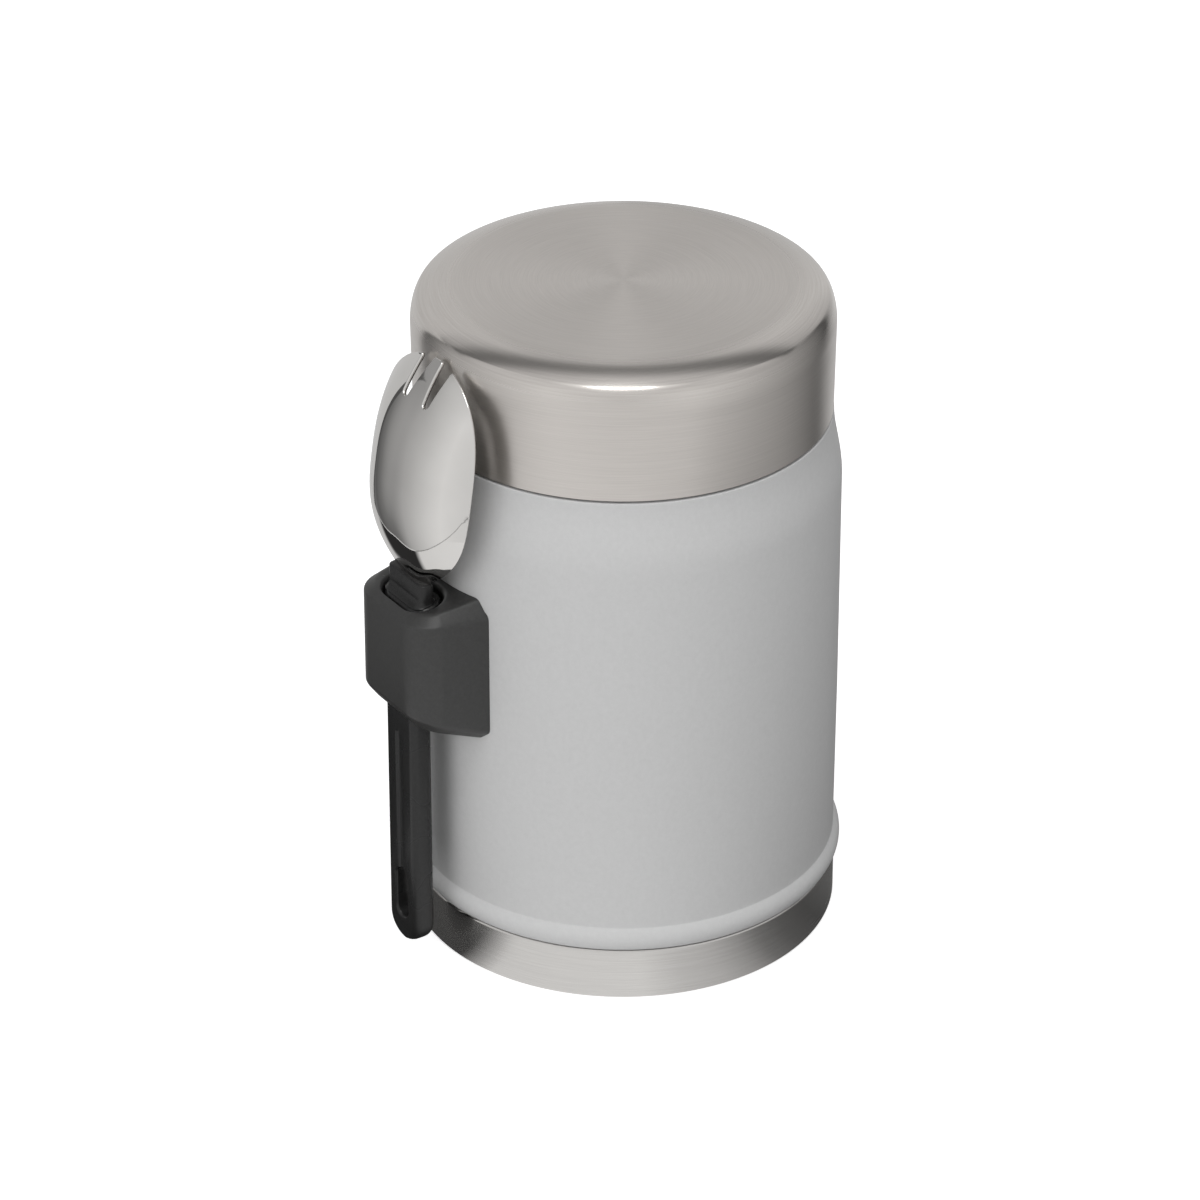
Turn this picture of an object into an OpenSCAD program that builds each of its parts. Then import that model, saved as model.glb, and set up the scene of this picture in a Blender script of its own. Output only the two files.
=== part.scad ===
// Insulated food jar with a screw lid and a spork in a side holder.
// The jar stands on the plane z = 0 with its axis on Z, and the holder faces -Y.

/* [Jar body] */
// Outer radius of the painted body
body_r = 45; // [42:0.5:50]
// How far the body draws in just above the bead
waist_in = 0.25; // [0:0.05:1]
// Wall of the outer shell
shell_wall = 0.8; // [0.6:0.1:1.2]
// Height of the ledge on top of the shoulder
shoulder_h = 116.2; // [105:0.2:130]
// How far the shoulder draws in below the lid
shoulder_in = 1.9; // [0.5:0.1:3]
// Height of the curve that draws the shoulder in
shoulder_curve_h = 15.7; // [8:0.1:25]
// Height of the bare steel band at the foot
band_h = 11.9; // [9:0.1:18]
// Height of the painted bead above the band
bead_h = 5.3; // [4:0.1:8]
// How far the bead stands out of the body
bead_out = 1.4; // [0.5:0.1:2]
// Height of the neck above the shoulder
neck_h = 16; // [15:0.5:20]

/* [Vacuum flask] */
// Gap between the outer shell and the inner vessel
vacuum_gap = 6; // [4:0.5:8]
// Gap between the shell and the vessel in the neck
neck_gap = 1.4; // [1:0.1:2]
// Gap below the bottom of the inner vessel
bottom_gap = 7.4; // [6:0.2:12]
// Wall of the inner vessel
vessel_wall = 0.6; // [0.5:0.1:1]
// Corner radius at the bottom of the inner vessel
vessel_corner = 8; // [4:0.5:12]
// Height over which the vessel narrows to its neck
vessel_taper_h = 6; // [3:0.5:10]
// Thickness of the welded lip around the mouth
lip_t = 0.9; // [0.6:0.1:1.4]
// Wall of the base cup
base_wall = 0.8; // [0.6:0.1:1.2]
// Rounded lower edge of the base cup
base_edge = 0.9; // [0.9:0.1:2]
// Width of the foot ring
foot_w = 6; // [4:0.5:9]
// Thickness of the round plate in the foot ring
plate_t = 0.9; // [0.6:0.1:1.5]
// Radius of the pit that holds the vacuum seal
pit_r = 6; // [5:0.5:9]
// Depth of the seal pit
pit_depth = 1.6; // [1.2:0.1:2.4]
// Radius of the hole that the air is drawn out of
vent_r = 1.2; // [0.8:0.1:2]
// Radius of the getter tablet
getter_r = 5; // [3:0.5:7]
// Thickness of the getter tablet
getter_t = 2; // [1.5:0.1:2.5]
// Sheet of the getter clip
clip_t = 0.3; // [0.2:0.1:0.5]
// Thickness of the foil round the inner vessel
foil_t = 0.15; // [0.1:0.05:0.3]

/* [Lid] */
// How far the lid's side lies inside the shoulder
lid_in = 0.1; // [0:0.1:1]
// Height of the lid, seam to top
lid_h = 27.6; // [26.4:0.2:32]
// How far the lid's side leans out from the seam to its upper edge
lid_flare = 0.3; // [0:0.1:0.5]
// Height over which the lid's side turns in at the top
lid_edge_h = 6.1; // [4:0.1:8]
// How far the lid's side turns in over that height
lid_edge_in = 2.4; // [1.6:0.1:3]
// Radius of the curve from the side's turn to the flat top
lid_crown = 19; // [14:0.5:24]
// Sheet of the steel lid shell
lid_wall = 0.6; // [0.4:0.1:0.8]
// Gap of the seam between the lid and the shoulder
seam_gap = 0.4; // [0.3:0.1:0.8]
// Wall of the plastic liner between its threads
liner_wall = 1.5; // [1.2:0.1:2]
// Roof and plug floor of the liner
liner_roof = 1.4; // [1:0.1:1.8]
// How far the plug reaches below the gasket's seat
plug_depth = 7; // [4:0.5:12]
// Gap between the plug and the mouth
plug_gap = 1.2; // [0.8:0.1:2]
// Thickness of the silicone gasket
gasket_t = 1.6; // [1.2:0.1:2]

/* [Screw thread] */
// Rise of the lid in one full turn
thread_lead = 10; // [8:0.5:12]
// Number of thread starts
thread_starts = 2; // [1:1:2]
// Height of a thread ridge above its wall
thread_depth = 1.2; // [0.8:0.1:1.4]
// Width of a ridge where it meets the wall
thread_root_w = 2.3; // [1.8:0.1:2.4]
// Width of a ridge at its crest
thread_crest_w = 1.1; // [0.6:0.1:1.4]
// Free play between the two threads
thread_gap = 0.35; // [0.3:0.05:0.5]

/* [Spork holder] */
// Wall of the holder in front of the handle's block
holder_wall = 2.25; // [2.2:0.05:4]
// Half width of the holder at the jar
holder_half = 15.2; // [15:0.2:20]
// Half width of the holder where its front corners start
holder_front_half = 13.4; // [13.2:0.1:18]
// Radius of the holder's front corners
holder_corner = 7.2; // [4:0.2:9]
// Height above ground of the side face's lower edge, at the jar
holder_z = 58.8; // [40:0.2:70]
// Height of the side face, at the jar
holder_side_h = 27.2; // [25:0.2:34]
// Width and depth of the bevels round the top and bottom faces
holder_bevel = 2.6; // [1.5:0.1:2.8]
// Height of the top face above the side face, at the jar
holder_crown = 3.7; // [3:0.1:5]
// Fall of the top face per millimetre outwards
top_slope = 0.17; // [0.05:0.01:0.25]
// Rise of the bottom face per millimetre outwards
bottom_slope = 0.37; // [0.2:0.01:0.45]
// Depth of the wide chamber below the rim
chamber_depth = 15.5; // [12:0.5:18]
// Sheet of the bracket behind the holder
bracket_t = 0.6; // [0.5:0.1:0.7]
// Half width of the bracket's plate
bracket_half = 10.6; // [10.2:0.1:11]
// Height of the bracket
bracket_h = 22; // [18:0.5:22]
// Thickness of the bracket's hooks and shelf
hook_t = 1.2; // [1:0.1:1.4]
// Half distance between the two screws
screw_half = 5; // [4:0.5:6]
// Radius of the screws
screw_r = 1; // [0.8:0.1:1.2]
// Length of the screws under the head
screw_len = 6; // [5:0.5:7]

/* [Spork] */
// Distance from the body's wall to the middle of the handle's top block
handle_out = 6.35; // [6:0.05:7]
// Width of the handle's top block
block_w = 14.8; // [13:0.1:15.2]
// Thickness of the handle's top block
block_t = 8; // [7:0.1:8.2]
// Width of the handle's grip
grip_w = 10.8; // [9:0.2:12]
// Thickness of the handle's grip
grip_t = 5; // [4:0.1:5.4]
// Corner radius of the grip
grip_corner = 1.2; // [0.6:0.1:2]
// Height of the grip's lower end above the ground
grip_end_z = 5.6; // [3:0.2:20]
// Width of the hang slot
hang_w = 4.8; // [4.4:0.1:5.2]
// Length of the hang slot
hang_len = 12.3; // [8:0.1:16]
// Distance from the grip's end to the hang slot
hang_up = 5.3; // [4:0.1:8]
// Width of the groove down the grip
groove_w = 2.6; // [1.5:0.1:3.5]
// Depth of the groove
groove_depth = 0.5; // [0.3:0.1:0.8]
// Length of the groove above the hang slot
groove_len = 33; // [10:1:40]
// Width of the collar that holds the steel neck
collar_w = 13; // [12.6:0.1:14.4]
// Thickness of the collar
collar_t = 3.4; // [3.2:0.1:3.8]
// Distance from the block's middle out to the collar's middle
collar_out = 0.3; // [0.2:0.05:0.5]
// Height of the collar's top above the holder's rim
collar_h = 4.4; // [3:0.1:6]
// Length of the steel head above the collar
head_len = 46.3; // [40:0.1:60]
// Half width of the bowl
bowl_half = 17.2; // [15:0.1:19]
// Half width of the head at its neck
neck_half = 5.8; // [5:0.1:6]
// Height of the widest place above the collar
wide_up = 21.8; // [16:0.2:26]
// Depth of the bowl
bowl_depth = 7.6; // [5:0.1:9]
// Distance from the handle's middle out to the head's neck
neck_out = 0.1; // [0:0.05:0.3]
// Lean of the bowl's rim towards the jar, per millimetre of height
rim_lean = 0.144; // [0.12:0.002:0.16]
// Sheet of the steel head
head_t = 1; // [0.8:0.1:1.1]
// Width of the tang in the handle
tang_w = 9; // [6:0.5:10]
// Length of the tang
tang_len = 26; // [15:1:32]
// Distance from the middle line to the middle of a tine slot's end
slot_off = 3.65; // [3:0.05:4.5]
// Half width of a tine slot's round end
slot_r = 0.95; // [0.7:0.05:1.4]
// Depth of the tine slots below the tip
slot_depth = 7.7; // [5:0.1:10]
// Half width of the middle tine's end
tine_half = 1.25; // [1:0.05:1.8]
// Distance from the middle line to an outer tine's point
tine_off = 5.5; // [5:0.1:6.5]

/* [Fits] */
// Gap between two bodies that move past each other
run_gap = 0.4; // [0.3:0.05:0.5]
// Gap at a glued, welded or moulded joint
bond_gap = 0.05; // [0.02:0.01:0.1]
// Clearance of the holder round its bracket
bracket_gap = 0.15; // [0.1:0.05:0.2]

/* [Hidden] */

$fn = 96;
arc_steps = 8;
curve_steps = 14;
overrun = 1;

steel = [0.74, 0.73, 0.71];
paint = [0.75, 0.75, 0.75];
plastic = [0.15, 0.15, 0.15];

// Shares of another size
waist_end_share = 0.45;
sink_share = 0.375;
seal_foot_share = 0.55;
screw_head_share = 1.4;
neck_sink_share = 0.7;
neck_bulge_share = 0.86;
tip_bulge_share = 1.06;
tip_run_share = 1.004;
steady_share = 0.95;

// How full the curves of the steel head are
low_half_power = 3.1;
high_half_power = 3.25;
low_bulge_power = 2.2;
high_bulge_power = 2.5;
across_power = 2.9;

// Rows and columns of facets on the steel head
low_rows = 9;
high_rows = 13;
head_cols = 20;

// Jar and lid levels
waist_r = body_r - waist_in;
shoulder_r = body_r - shoulder_in;
lid_r = shoulder_r - lid_in;
rim_z = shoulder_h + neck_h;
lid_z = shoulder_h + seam_gap;
lid_top = lid_z + lid_h;

// The lid's side turns in as part of an ellipse, up to the angle where the crown's arc starts
lid_lean = 60;
edge_turn = atan(tan(lid_lean) * lid_edge_h / lid_edge_in);
edge_r = lid_r + lid_flare - lid_edge_in;
edge_z = lid_top - lid_crown * (1 - sin(lid_lean)) - lid_edge_h * sin(edge_turn);
crown_r = edge_r + lid_edge_in * cos(edge_turn) - lid_crown * cos(lid_lean);
crown_z = lid_top - lid_crown;

// Radii across the neck, from the lid inwards
liner_r = lid_r - lid_wall - bond_gap;
liner_in = liner_r - liner_wall;
neck_r = liner_in - thread_depth - thread_gap;
throat_r = neck_r - shell_wall - neck_gap;
mouth_r = throat_r - vessel_wall;
plug_r = mouth_r - plug_gap;

// Levels of the base and of the vessel
floor_z = plate_t + bond_gap;
floor_top = floor_z + base_wall;
vessel_z = floor_top + bottom_gap;
vessel_r = body_r - shell_wall - vacuum_gap;
taper_z = shoulder_h - vessel_taper_h;
sleeve_r = waist_r - shell_wall - bond_gap;
plate_r = body_r - base_edge - foot_w;

// Levels inside the lid
gasket_z = rim_z + seam_gap / 2;
roof_z = gasket_z + gasket_t;
roof_top = roof_z + liner_roof;
plug_z = roof_z - plug_depth;
liner_chamfer = liner_wall / 3;

// The ridges: one on the neck, one in the liner just below it
thread_sink = shell_wall * sink_share;
thread_step = 10;
thread_fade = 3;
male_z = shoulder_h + thread_root_w;
male_turns = (neck_h - lip_t - 2 * thread_root_w) / thread_lead;
female_drop = (thread_root_w + thread_crest_w) / 2 + thread_gap;
female_z = lid_z + bond_gap + liner_chamfer + thread_root_w / 2;
female_turns = male_turns;
female_start = (female_z + female_drop - male_z) / thread_lead * 360;

// Places in the holder, measured outwards from the jar's axis
handle_reach = body_r + handle_out;
holder_reach = handle_reach + block_t / 2 + run_gap + holder_wall;
holder_top = holder_z + holder_side_h;
back_reach = sqrt(body_r * body_r - holder_half * holder_half);
rim_at_handle = holder_top + holder_crown - top_slope * (handle_reach - back_reach);
chamber_z = rim_at_handle - chamber_depth - run_gap;
grip_reach = handle_reach + block_t / 2 - grip_t / 2;
bracket_z = holder_z + 2 * holder_bevel - screw_len / 3;
bracket_r = body_r + bond_gap + bracket_t;
hook_reach = body_r + 2 * hook_t + bracket_gap;
shelf_reach = grip_reach - grip_t / 2 - run_gap - hook_t + bracket_gap;
screw_reach = (bracket_r + shelf_reach) / 2;
screw_head_r = (shelf_reach - bracket_r) / 2 - bond_gap;
screw_head_h = screw_r * screw_head_share;
pilot_r = screw_r + bond_gap;

// Levels of the spork
collar_top = rim_at_handle + collar_h;
collar_reach = handle_reach + collar_out;
neck_reach = handle_reach + neck_out;
tip_z = collar_top + head_len;
wide_z = collar_top + wide_up;
tip_run = (head_len - wide_up) * tip_run_share;
neck_sink = head_t * neck_sink_share;
neck_bulge = bowl_depth * (1 - neck_bulge_share);
tang_reach = neck_reach + neck_bulge / 2;
tang_z = collar_top - tang_len;
hang_z = grip_end_z + hang_up + hang_len / 2;

// An arc of points in a plane
function arc(c, r, a0, a1, n = arc_steps) =
    [for (i = [0:n]) c + r * [cos(a0 + (a1 - a0) * i / n), sin(a0 + (a1 - a0) * i / n)]];

// The soft shoulder, from the body up to the ledge, moved in by a wall
function shoulder_points(inset) =
    [for (i = [0:curve_steps]) let (x = i / curve_steps)
        [shoulder_r + shoulder_in * (1 + cos(180 * x)) / 2 - inset,
            shoulder_h - shoulder_curve_h * (1 - x) - inset * x]];

// The bead is an arc over its own height
bead_arc_r = (pow(bead_h / 2, 2) + pow(bead_out, 2)) / (2 * bead_out);
bead_half_angle = asin(bead_h / 2 / bead_arc_r);
function bead_points(inset) =
    arc([waist_r + bead_out - bead_arc_r, band_h + bead_h / 2], bead_arc_r - inset,
        -bead_half_angle, bead_half_angle);

// The lid's edge and crown, from the side to the flat top, moved in by a wall
function lid_points(inset) = concat(
    [for (i = [0:arc_steps - 1])
        let (t = edge_turn * i / arc_steps, up = atan(tan(t) * lid_edge_in / lid_edge_h))
        [edge_r + lid_edge_in * cos(t) - inset * cos(up), edge_z + lid_edge_h * sin(t) - inset * sin(up)]],
    arc([crown_r, crown_z], lid_crown - inset, lid_lean, 90));

function backwards(list) = [for (i = [len(list) - 1:-1:0]) list[i]];

// A wall seen in section, spun round the jar's axis
module spin(points) {
    rotate_extrude() polygon(points);
}

// A stadium with full round ends, long side on X
module stadium(w, t) {
    square([w - t, t], center = true);
    for (s = [-1, 1]) translate([s * (w - t) / 2, 0]) circle(d = t);
}

// A rectangle with true round corners
module round_rect(w, t, r) {
    square([w - 2 * r, t], center = true);
    square([w, t - 2 * r], center = true);
    for (x = [-1, 1], y = [-1, 1]) translate([x * (w / 2 - r), y * (t / 2 - r)]) circle(r = r);
}

// A shape drawn in X and Z, given depth along Y and centred on a distance from the jar's axis
module facing(reach, depth) {
    translate([0, -reach + depth / 2, 0]) rotate([90, 0, 0]) linear_extrude(depth) children();
}

// One helical ridge: side is 1 on an outer wall and -1 on an inner wall
module ridge(wall_r, side, z, turns, start) {
    n = ceil(turns * 360 / thread_step);
    flank = (thread_root_w - thread_crest_w) / 2 / thread_depth;
    base_half = thread_root_w / 2 + flank * thread_sink;
    function share(i) = min(1, i / thread_fade, (n - i) / thread_fade);
    function crest(i) = wall_r + side * ((thread_depth + thread_sink / 2) * share(i) - thread_sink / 2);
    function ring(i) = let (a = start + turns * 360 * i / n, h = z + turns * thread_lead * i / n,
            rb = wall_r - side * thread_sink, rc = crest(i), c = thread_crest_w / 2)
        [for (p = [[rb, -base_half], [rc, -c], [rc, c], [rb, base_half]])
            [p[0] * cos(a), p[0] * sin(a), h + p[1]]];
    points = [for (i = [0:n]) each ring(i)];
    sides = [for (i = [0:n - 1], k = [0:3]) let (a = 4 * i + k, b = 4 * i + (k + 1) % 4)
        each [[a, b, a + 4], [b, b + 4, a + 4]]];
    ends = [[0, 2, 1], [0, 3, 2], [4 * n, 4 * n + 1, 4 * n + 2], [4 * n, 4 * n + 2, 4 * n + 3]];
    faces = concat(sides, ends);
    polyhedron(points, side > 0 ? faces : [for (f = faces) [f[2], f[1], f[0]]]);
}

module thread(wall_r, side, z, turns, start) {
    for (k = [0:thread_starts - 1])
        ridge(wall_r, side, z, turns, start + 360 * k / thread_starts);
}

// Painted steel wall: bead, body, shoulder, ledge and threaded neck
module outer_shell() {
    outside = concat(bead_points(0), [[body_r, shoulder_h * waist_end_share]], shoulder_points(0),
        [[neck_r, shoulder_h], [neck_r, rim_z - lip_t]]);
    inside = concat(bead_points(shell_wall), [[body_r - shell_wall, shoulder_h * waist_end_share]],
        shoulder_points(shell_wall),
        [[neck_r - shell_wall, shoulder_h - shell_wall], [neck_r - shell_wall, rim_z - lip_t]]);
    color(paint) union() {
        spin(concat(outside, backwards(inside)));
        thread(neck_r, 1, male_z, male_turns, 0);
    }
}

// The vessel that holds the food, with the welded lip round its mouth
module inner_vessel() {
    c = [vessel_r - vessel_corner, vessel_z + vessel_corner];
    outside = concat([[0, vessel_z]], arc(c, vessel_corner, -90, 0),
        [[vessel_r, taper_z], [throat_r, shoulder_h - shell_wall - neck_gap], [throat_r, rim_z - lip_t],
            [neck_r, rim_z - lip_t]],
        arc([neck_r - lip_t / 2, rim_z - lip_t / 2], lip_t / 2, 0, 90));
    inside = concat([[mouth_r, rim_z], [mouth_r, shoulder_h - shell_wall - neck_gap],
            [vessel_r - vessel_wall, taper_z]],
        arc(c, vessel_corner - vessel_wall, 0, -90), [[0, vessel_z + vessel_wall]]);
    color(steel) spin(concat(outside, inside));
}

// The bare steel foot: band, foot ring, floor and the pit for the seal
module base_cup() {
    band_top = band_h - bond_gap;
    c = [body_r - base_edge, base_edge];
    outside = concat([[vent_r, floor_z + pit_depth], [pit_r, floor_z + pit_depth], [pit_r, floor_z],
            [plate_r, floor_z], [plate_r, 0]],
        arc(c, base_edge, -90, 0),
        [[body_r, band_top], [sleeve_r, band_top], [sleeve_r, band_h + bead_h * 3 / 4]]);
    inside = concat([[sleeve_r - base_wall, band_h + bead_h * 3 / 4],
            [sleeve_r - base_wall, band_top - base_wall], [body_r - base_wall, band_top - base_wall]],
        arc(c, base_edge - base_wall, 0, -90),
        [[plate_r + base_wall, base_wall], [plate_r + base_wall, floor_top],
            [pit_r + base_wall, floor_top], [pit_r + base_wall, floor_top + pit_depth],
            [vent_r, floor_top + pit_depth]]);
    color(steel) spin(concat(outside, inside));
}

// The round plate that covers the seal and lies flush with the foot ring
module base_plate() {
    edge = plate_t / 4;
    r = plate_r - bond_gap;
    color(steel) spin([[0, 0], [r - edge, 0], [r, edge], [r, plate_t], [0, plate_t]]);
}

// The hardened drop that closes the vent in the pit
module vacuum_seal() {
    r = pit_r * 3 / 4;
    h = pit_depth - bond_gap;
    color([0.35, 0.36, 0.38]) translate([0, 0, floor_z + bond_gap])
        spin(concat([[0, 0]], [for (i = [0:arc_steps]) let (a = 90 * i / arc_steps,
                share = seal_foot_share + (1 - seal_foot_share) * sin(a))
            [r * share, (h - bond_gap) * (1 - cos(a))]], [[0, h - bond_gap]]));
}

// The tablet that binds stray gas in the vacuum
module getter() {
    color([0.45, 0.45, 0.47])
        translate([0, 0, vessel_z - bond_gap - getter_t]) cylinder(h = getter_t, r = getter_r);
}

// The pressed cap that is welded under the vessel and holds the getter
module getter_clip() {
    in_r = getter_r + bond_gap;
    top = vessel_z - bond_gap;
    low = top - getter_t - bond_gap;
    flange_r = in_r + 3 * getter_t / 2;
    color(steel) spin([[0, low - clip_t], [in_r + clip_t, low - clip_t], [in_r + clip_t, top - clip_t],
        [flange_r, top - clip_t], [flange_r, top], [in_r, top], [in_r, low], [0, low]]);
}

// The bright foil wrapped round the vessel
module heat_foil() {
    low = vessel_z + vessel_corner;
    r = vessel_r + bond_gap;
    color([0.72, 0.45, 0.3]) translate([0, 0, low]) difference() {
        cylinder(h = taper_z - low, r = r + foil_t);
        translate([0, 0, -overrun]) cylinder(h = taper_z - low + 2 * overrun, r = r);
    }
}

// The drawn steel cap that shows
module lid_shell() {
    outside = concat([[lid_r - lid_wall, lid_z], [lid_r - lid_wall / 3, lid_z],
        [lid_r, lid_z + lid_wall / 3]], lid_points(0), [[0, lid_top]]);
    inside = concat([[0, lid_top - lid_wall]], backwards(lid_points(lid_wall)));
    color(steel) spin(concat(outside, inside));
}

// The plastic inside of the lid: skirt with thread, roof, gasket seat and hollow plug
module lid_liner() {
    low = lid_z + bond_gap;
    bend = liner_roof;
    color(plastic) union() {
        spin(concat([[liner_r, low], [liner_r, roof_top], [plug_r - liner_roof, roof_top],
                [plug_r - liner_roof, plug_z + liner_roof], [0, plug_z + liner_roof], [0, plug_z]],
            arc([plug_r - bend, plug_z + bend], bend, -90, 0),
            [[plug_r, roof_z], [liner_in, roof_z], [liner_in, low + liner_chamfer],
                [liner_in + liner_chamfer, low]]));
        thread(liner_in, -1, female_z, female_turns, female_start);
    }
}

// Foam that fills the plug and the space under the steel top
module lid_insulation() {
    low = plug_z + liner_roof + run_gap;
    deck = roof_top + run_gap;
    core_r = plug_r - liner_roof - run_gap;
    inset = lid_wall + run_gap;
    crown = arc([crown_r, crown_z], lid_crown - inset, lid_lean, 90);
    color([0.93, 0.92, 0.86]) spin(concat([[0, low], [core_r, low], [core_r, deck], [crown[0][0], deck]],
        crown, [[0, lid_top - inset]]));
}

// The silicone ring between the liner and the mouth
module lid_gasket() {
    in_r = plug_r + bond_gap;
    out_r = neck_r + thread_gap;
    edge = gasket_t / 4;
    color([0.82, 0.82, 0.8]) spin([[in_r, gasket_z + edge], [in_r + edge, gasket_z],
        [out_r - edge, gasket_z], [out_r, gasket_z + edge], [out_r, roof_z - bond_gap],
        [in_r, roof_z - bond_gap]]);
}

// The holder's outline in plan, moved in by an inset, as points at a level and a slope
function holder_ring(inset, z, slope) = let (r = holder_corner - inset,
        cx = holder_front_half - holder_corner, cy = holder_reach - holder_corner,
        front = arc([cx, cy], r, atan((holder_half - holder_front_half) / (cy - back_reach)), 90),
        half = concat([[holder_half - inset, back_reach - holder_bevel]], front),
        whole = concat(half, [for (p = backwards(half)) [-p[0], p[1]]]))
    [for (p = whole) [p[0], -p[1], z + slope * (p[1] - back_reach)]];

// The solid block: bevelled top and bottom, both sloped
module holder_block() {
    rings = [holder_ring(holder_bevel, holder_z - holder_bevel, bottom_slope),
        holder_ring(0, holder_z, bottom_slope), holder_ring(0, holder_top, 0),
        holder_ring(holder_bevel, holder_top + holder_crown, -top_slope)];
    n = len(rings[0]);
    hull() polyhedron([for (ring = rings) each ring], [for (k = [0:3]) [for (i = [0:n - 1]) k * n + i]]);
}

// The bracket's plan: a curved plate with a hook at each side, grown by a clearance
module bracket_plan(grow) {
    intersection() {
        difference() {
            circle(r = bracket_r + grow);
            circle(r = body_r + bond_gap - grow);
        }
        translate([-bracket_half - grow, -body_r - overrun]) square([2 * (bracket_half + grow), body_r]);
    }
    for (s = [-1, 1]) {
        translate([s * (bracket_half - hook_t / 2), -(back_reach + hook_reach) / 2])
            square([hook_t + 2 * grow, hook_reach - back_reach + 2 * grow], center = true);
        translate([s * bracket_half, -hook_reach + hook_t / 2])
            square([2 * hook_t + 2 * grow, hook_t + 2 * grow], center = true);
    }
}

// The shelf under the holder, with room below for the screw heads
module shelf_plan(grow) {
    half = screw_half + screw_head_r + hook_t / 2;
    translate([-half - grow, -shelf_reach - grow]) square([2 * (half + grow), shelf_reach - body_r]);
}

// The moulded block on the side of the jar, with a chamber and a passage for the handle
module holder() {
    color(plastic) difference() {
        holder_block();
        cylinder(h = lid_top, r = body_r + bond_gap);
        translate([0, -handle_reach, chamber_z])
            linear_extrude(holder_side_h) stadium(block_w + 2 * run_gap, block_t + 2 * run_gap);
        translate([0, -grip_reach, 0]) linear_extrude(chamber_z + overrun)
            round_rect(grip_w + 2 * run_gap, grip_t + 2 * run_gap, grip_corner + run_gap);
        linear_extrude(bracket_z + bracket_h + bracket_gap) bracket_plan(bracket_gap);
        linear_extrude(bracket_z + hook_t + bracket_gap) shelf_plan(bracket_gap);
        for (s = [-1, 1]) translate([s * screw_half, -screw_reach, bracket_z])
            cylinder(h = screw_len + bond_gap, r = pilot_r);
    }
}

// The steel bracket welded to the shell, which the holder slides down onto
module holder_bracket() {
    color(steel) difference() {
        translate([0, 0, bracket_z]) union() {
            linear_extrude(bracket_h) difference() {
                bracket_plan(0);
                circle(r = body_r + bond_gap);
            }
            linear_extrude(hook_t) difference() {
                shelf_plan(0);
                circle(r = body_r + bond_gap);
            }
        }
        for (s = [-1, 1]) translate([s * screw_half, -screw_reach, 0])
            cylinder(h = bracket_z + bracket_h, r = screw_r + bracket_gap);
    }
}

// Two small screws that go up through the shelf into the holder
module holder_screws() {
    color(steel) for (s = [-1, 1])
        translate([s * screw_half, -screw_reach, bracket_z - bond_gap - screw_head_h]) {
            cylinder(h = screw_head_h, r = screw_head_r);
            cylinder(h = screw_head_h + screw_len, r = screw_r);
        }
}

// Half width, rim and bulge of the steel head at a height
function head_half(z) = z < wide_z
    ? neck_half + (bowl_half - neck_half) * (1 - pow(min(1, (wide_z - z) / wide_up), low_half_power))
    : bowl_half * sqrt(1 - pow((z - wide_z) / tip_run, high_half_power));
function head_rim(z) = neck_reach - rim_lean * max(0, z - collar_top);
function head_bulge(z) = z < wide_z
    ? bowl_depth * (1 - neck_bulge_share * pow(min(1, (wide_z - z) / wide_up), low_bulge_power))
    : bowl_depth * (1 - tip_bulge_share * pow((z - wide_z) / (head_len - wide_up), high_bulge_power));

// A point on the convex face: across runs from -1 to 1 between the rims
function head_point(z, across) = [across * head_half(z),
    -head_rim(z) - head_bulge(z) * (1 - pow(abs(across), across_power)), z];
function unit(v) = v / norm(v);
// The direction out of the convex face, taken a little inside the rims, where it is steady
function head_normal(z, across) = let (dz = head_len / 1000, da = 1 / 500, h = min(z, tip_z - head_t),
        a = max(-steady_share, min(steady_share, across)))
    unit(cross(head_point(h, a + da) - head_point(h, a - da),
        head_point(h + dz, a) - head_point(h - dz, a)));

// The dished steel sheet, before its slots are cut
module bowl_sheet() {
    rows = concat([collar_top - neck_sink],
        [for (i = [0:low_rows - 1]) collar_top + wide_up * i / low_rows],
        [for (i = [0:high_rows]) wide_z + (head_len - wide_up) * sin(90 * i / high_rows)]);
    n = len(rows);
    w = head_cols + 1;
    across = [for (j = [0:head_cols]) sin(90 * (2 * j / head_cols - 1))];
    outside = [for (z = rows, a = across) head_point(z, a)];
    inside = [for (z = rows, a = across) head_point(z, a) - head_t * head_normal(z, a)];
    function two(a, b, c, d) = [[a, b, c], [a, c, d]];
    m = n * w;
    skin = [for (i = [0:n - 2], j = [0:head_cols - 1]) let (a = i * w + j)
        each concat(two(a, a + w, a + w + 1, a + 1), two(m + a, m + a + 1, m + a + w + 1, m + a + w))];
    sides = [for (i = [0:n - 2]) let (a = i * w, b = i * w + head_cols)
        each concat(two(a, m + a, m + a + w, a + w), two(b, b + w, m + b + w, m + b))];
    ends = [for (j = [0:head_cols - 1]) let (a = j, b = (n - 1) * w + j)
        each concat(two(a, a + 1, m + a + 1, m + a), two(b, m + b, m + b + 1, b + 1))];
    polyhedron(concat(outside, inside), concat(skin, sides, ends));
}

// The outline of the gap between two tines
module tine_slot() {
    end_z = tip_z - slot_depth + slot_r;
    translate([slot_off, end_z]) circle(r = slot_r);
    polygon([[slot_off - slot_r, end_z], [slot_off + slot_r, end_z],
        [tine_off, tip_z + bond_gap], [tine_half, tip_z + bond_gap]]);
}

// The polished steel head with three tines and a flat tang
module spork_head() {
    color(steel) union() {
        difference() {
            bowl_sheet();
            for (s = [0, 1]) mirror([s, 0, 0]) facing(handle_reach, holder_reach) tine_slot();
        }
        translate([-tang_w / 2, -tang_reach, tang_z])
            cube([tang_w, head_t, tang_len - neck_sink / 2]);
    }
}

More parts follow.
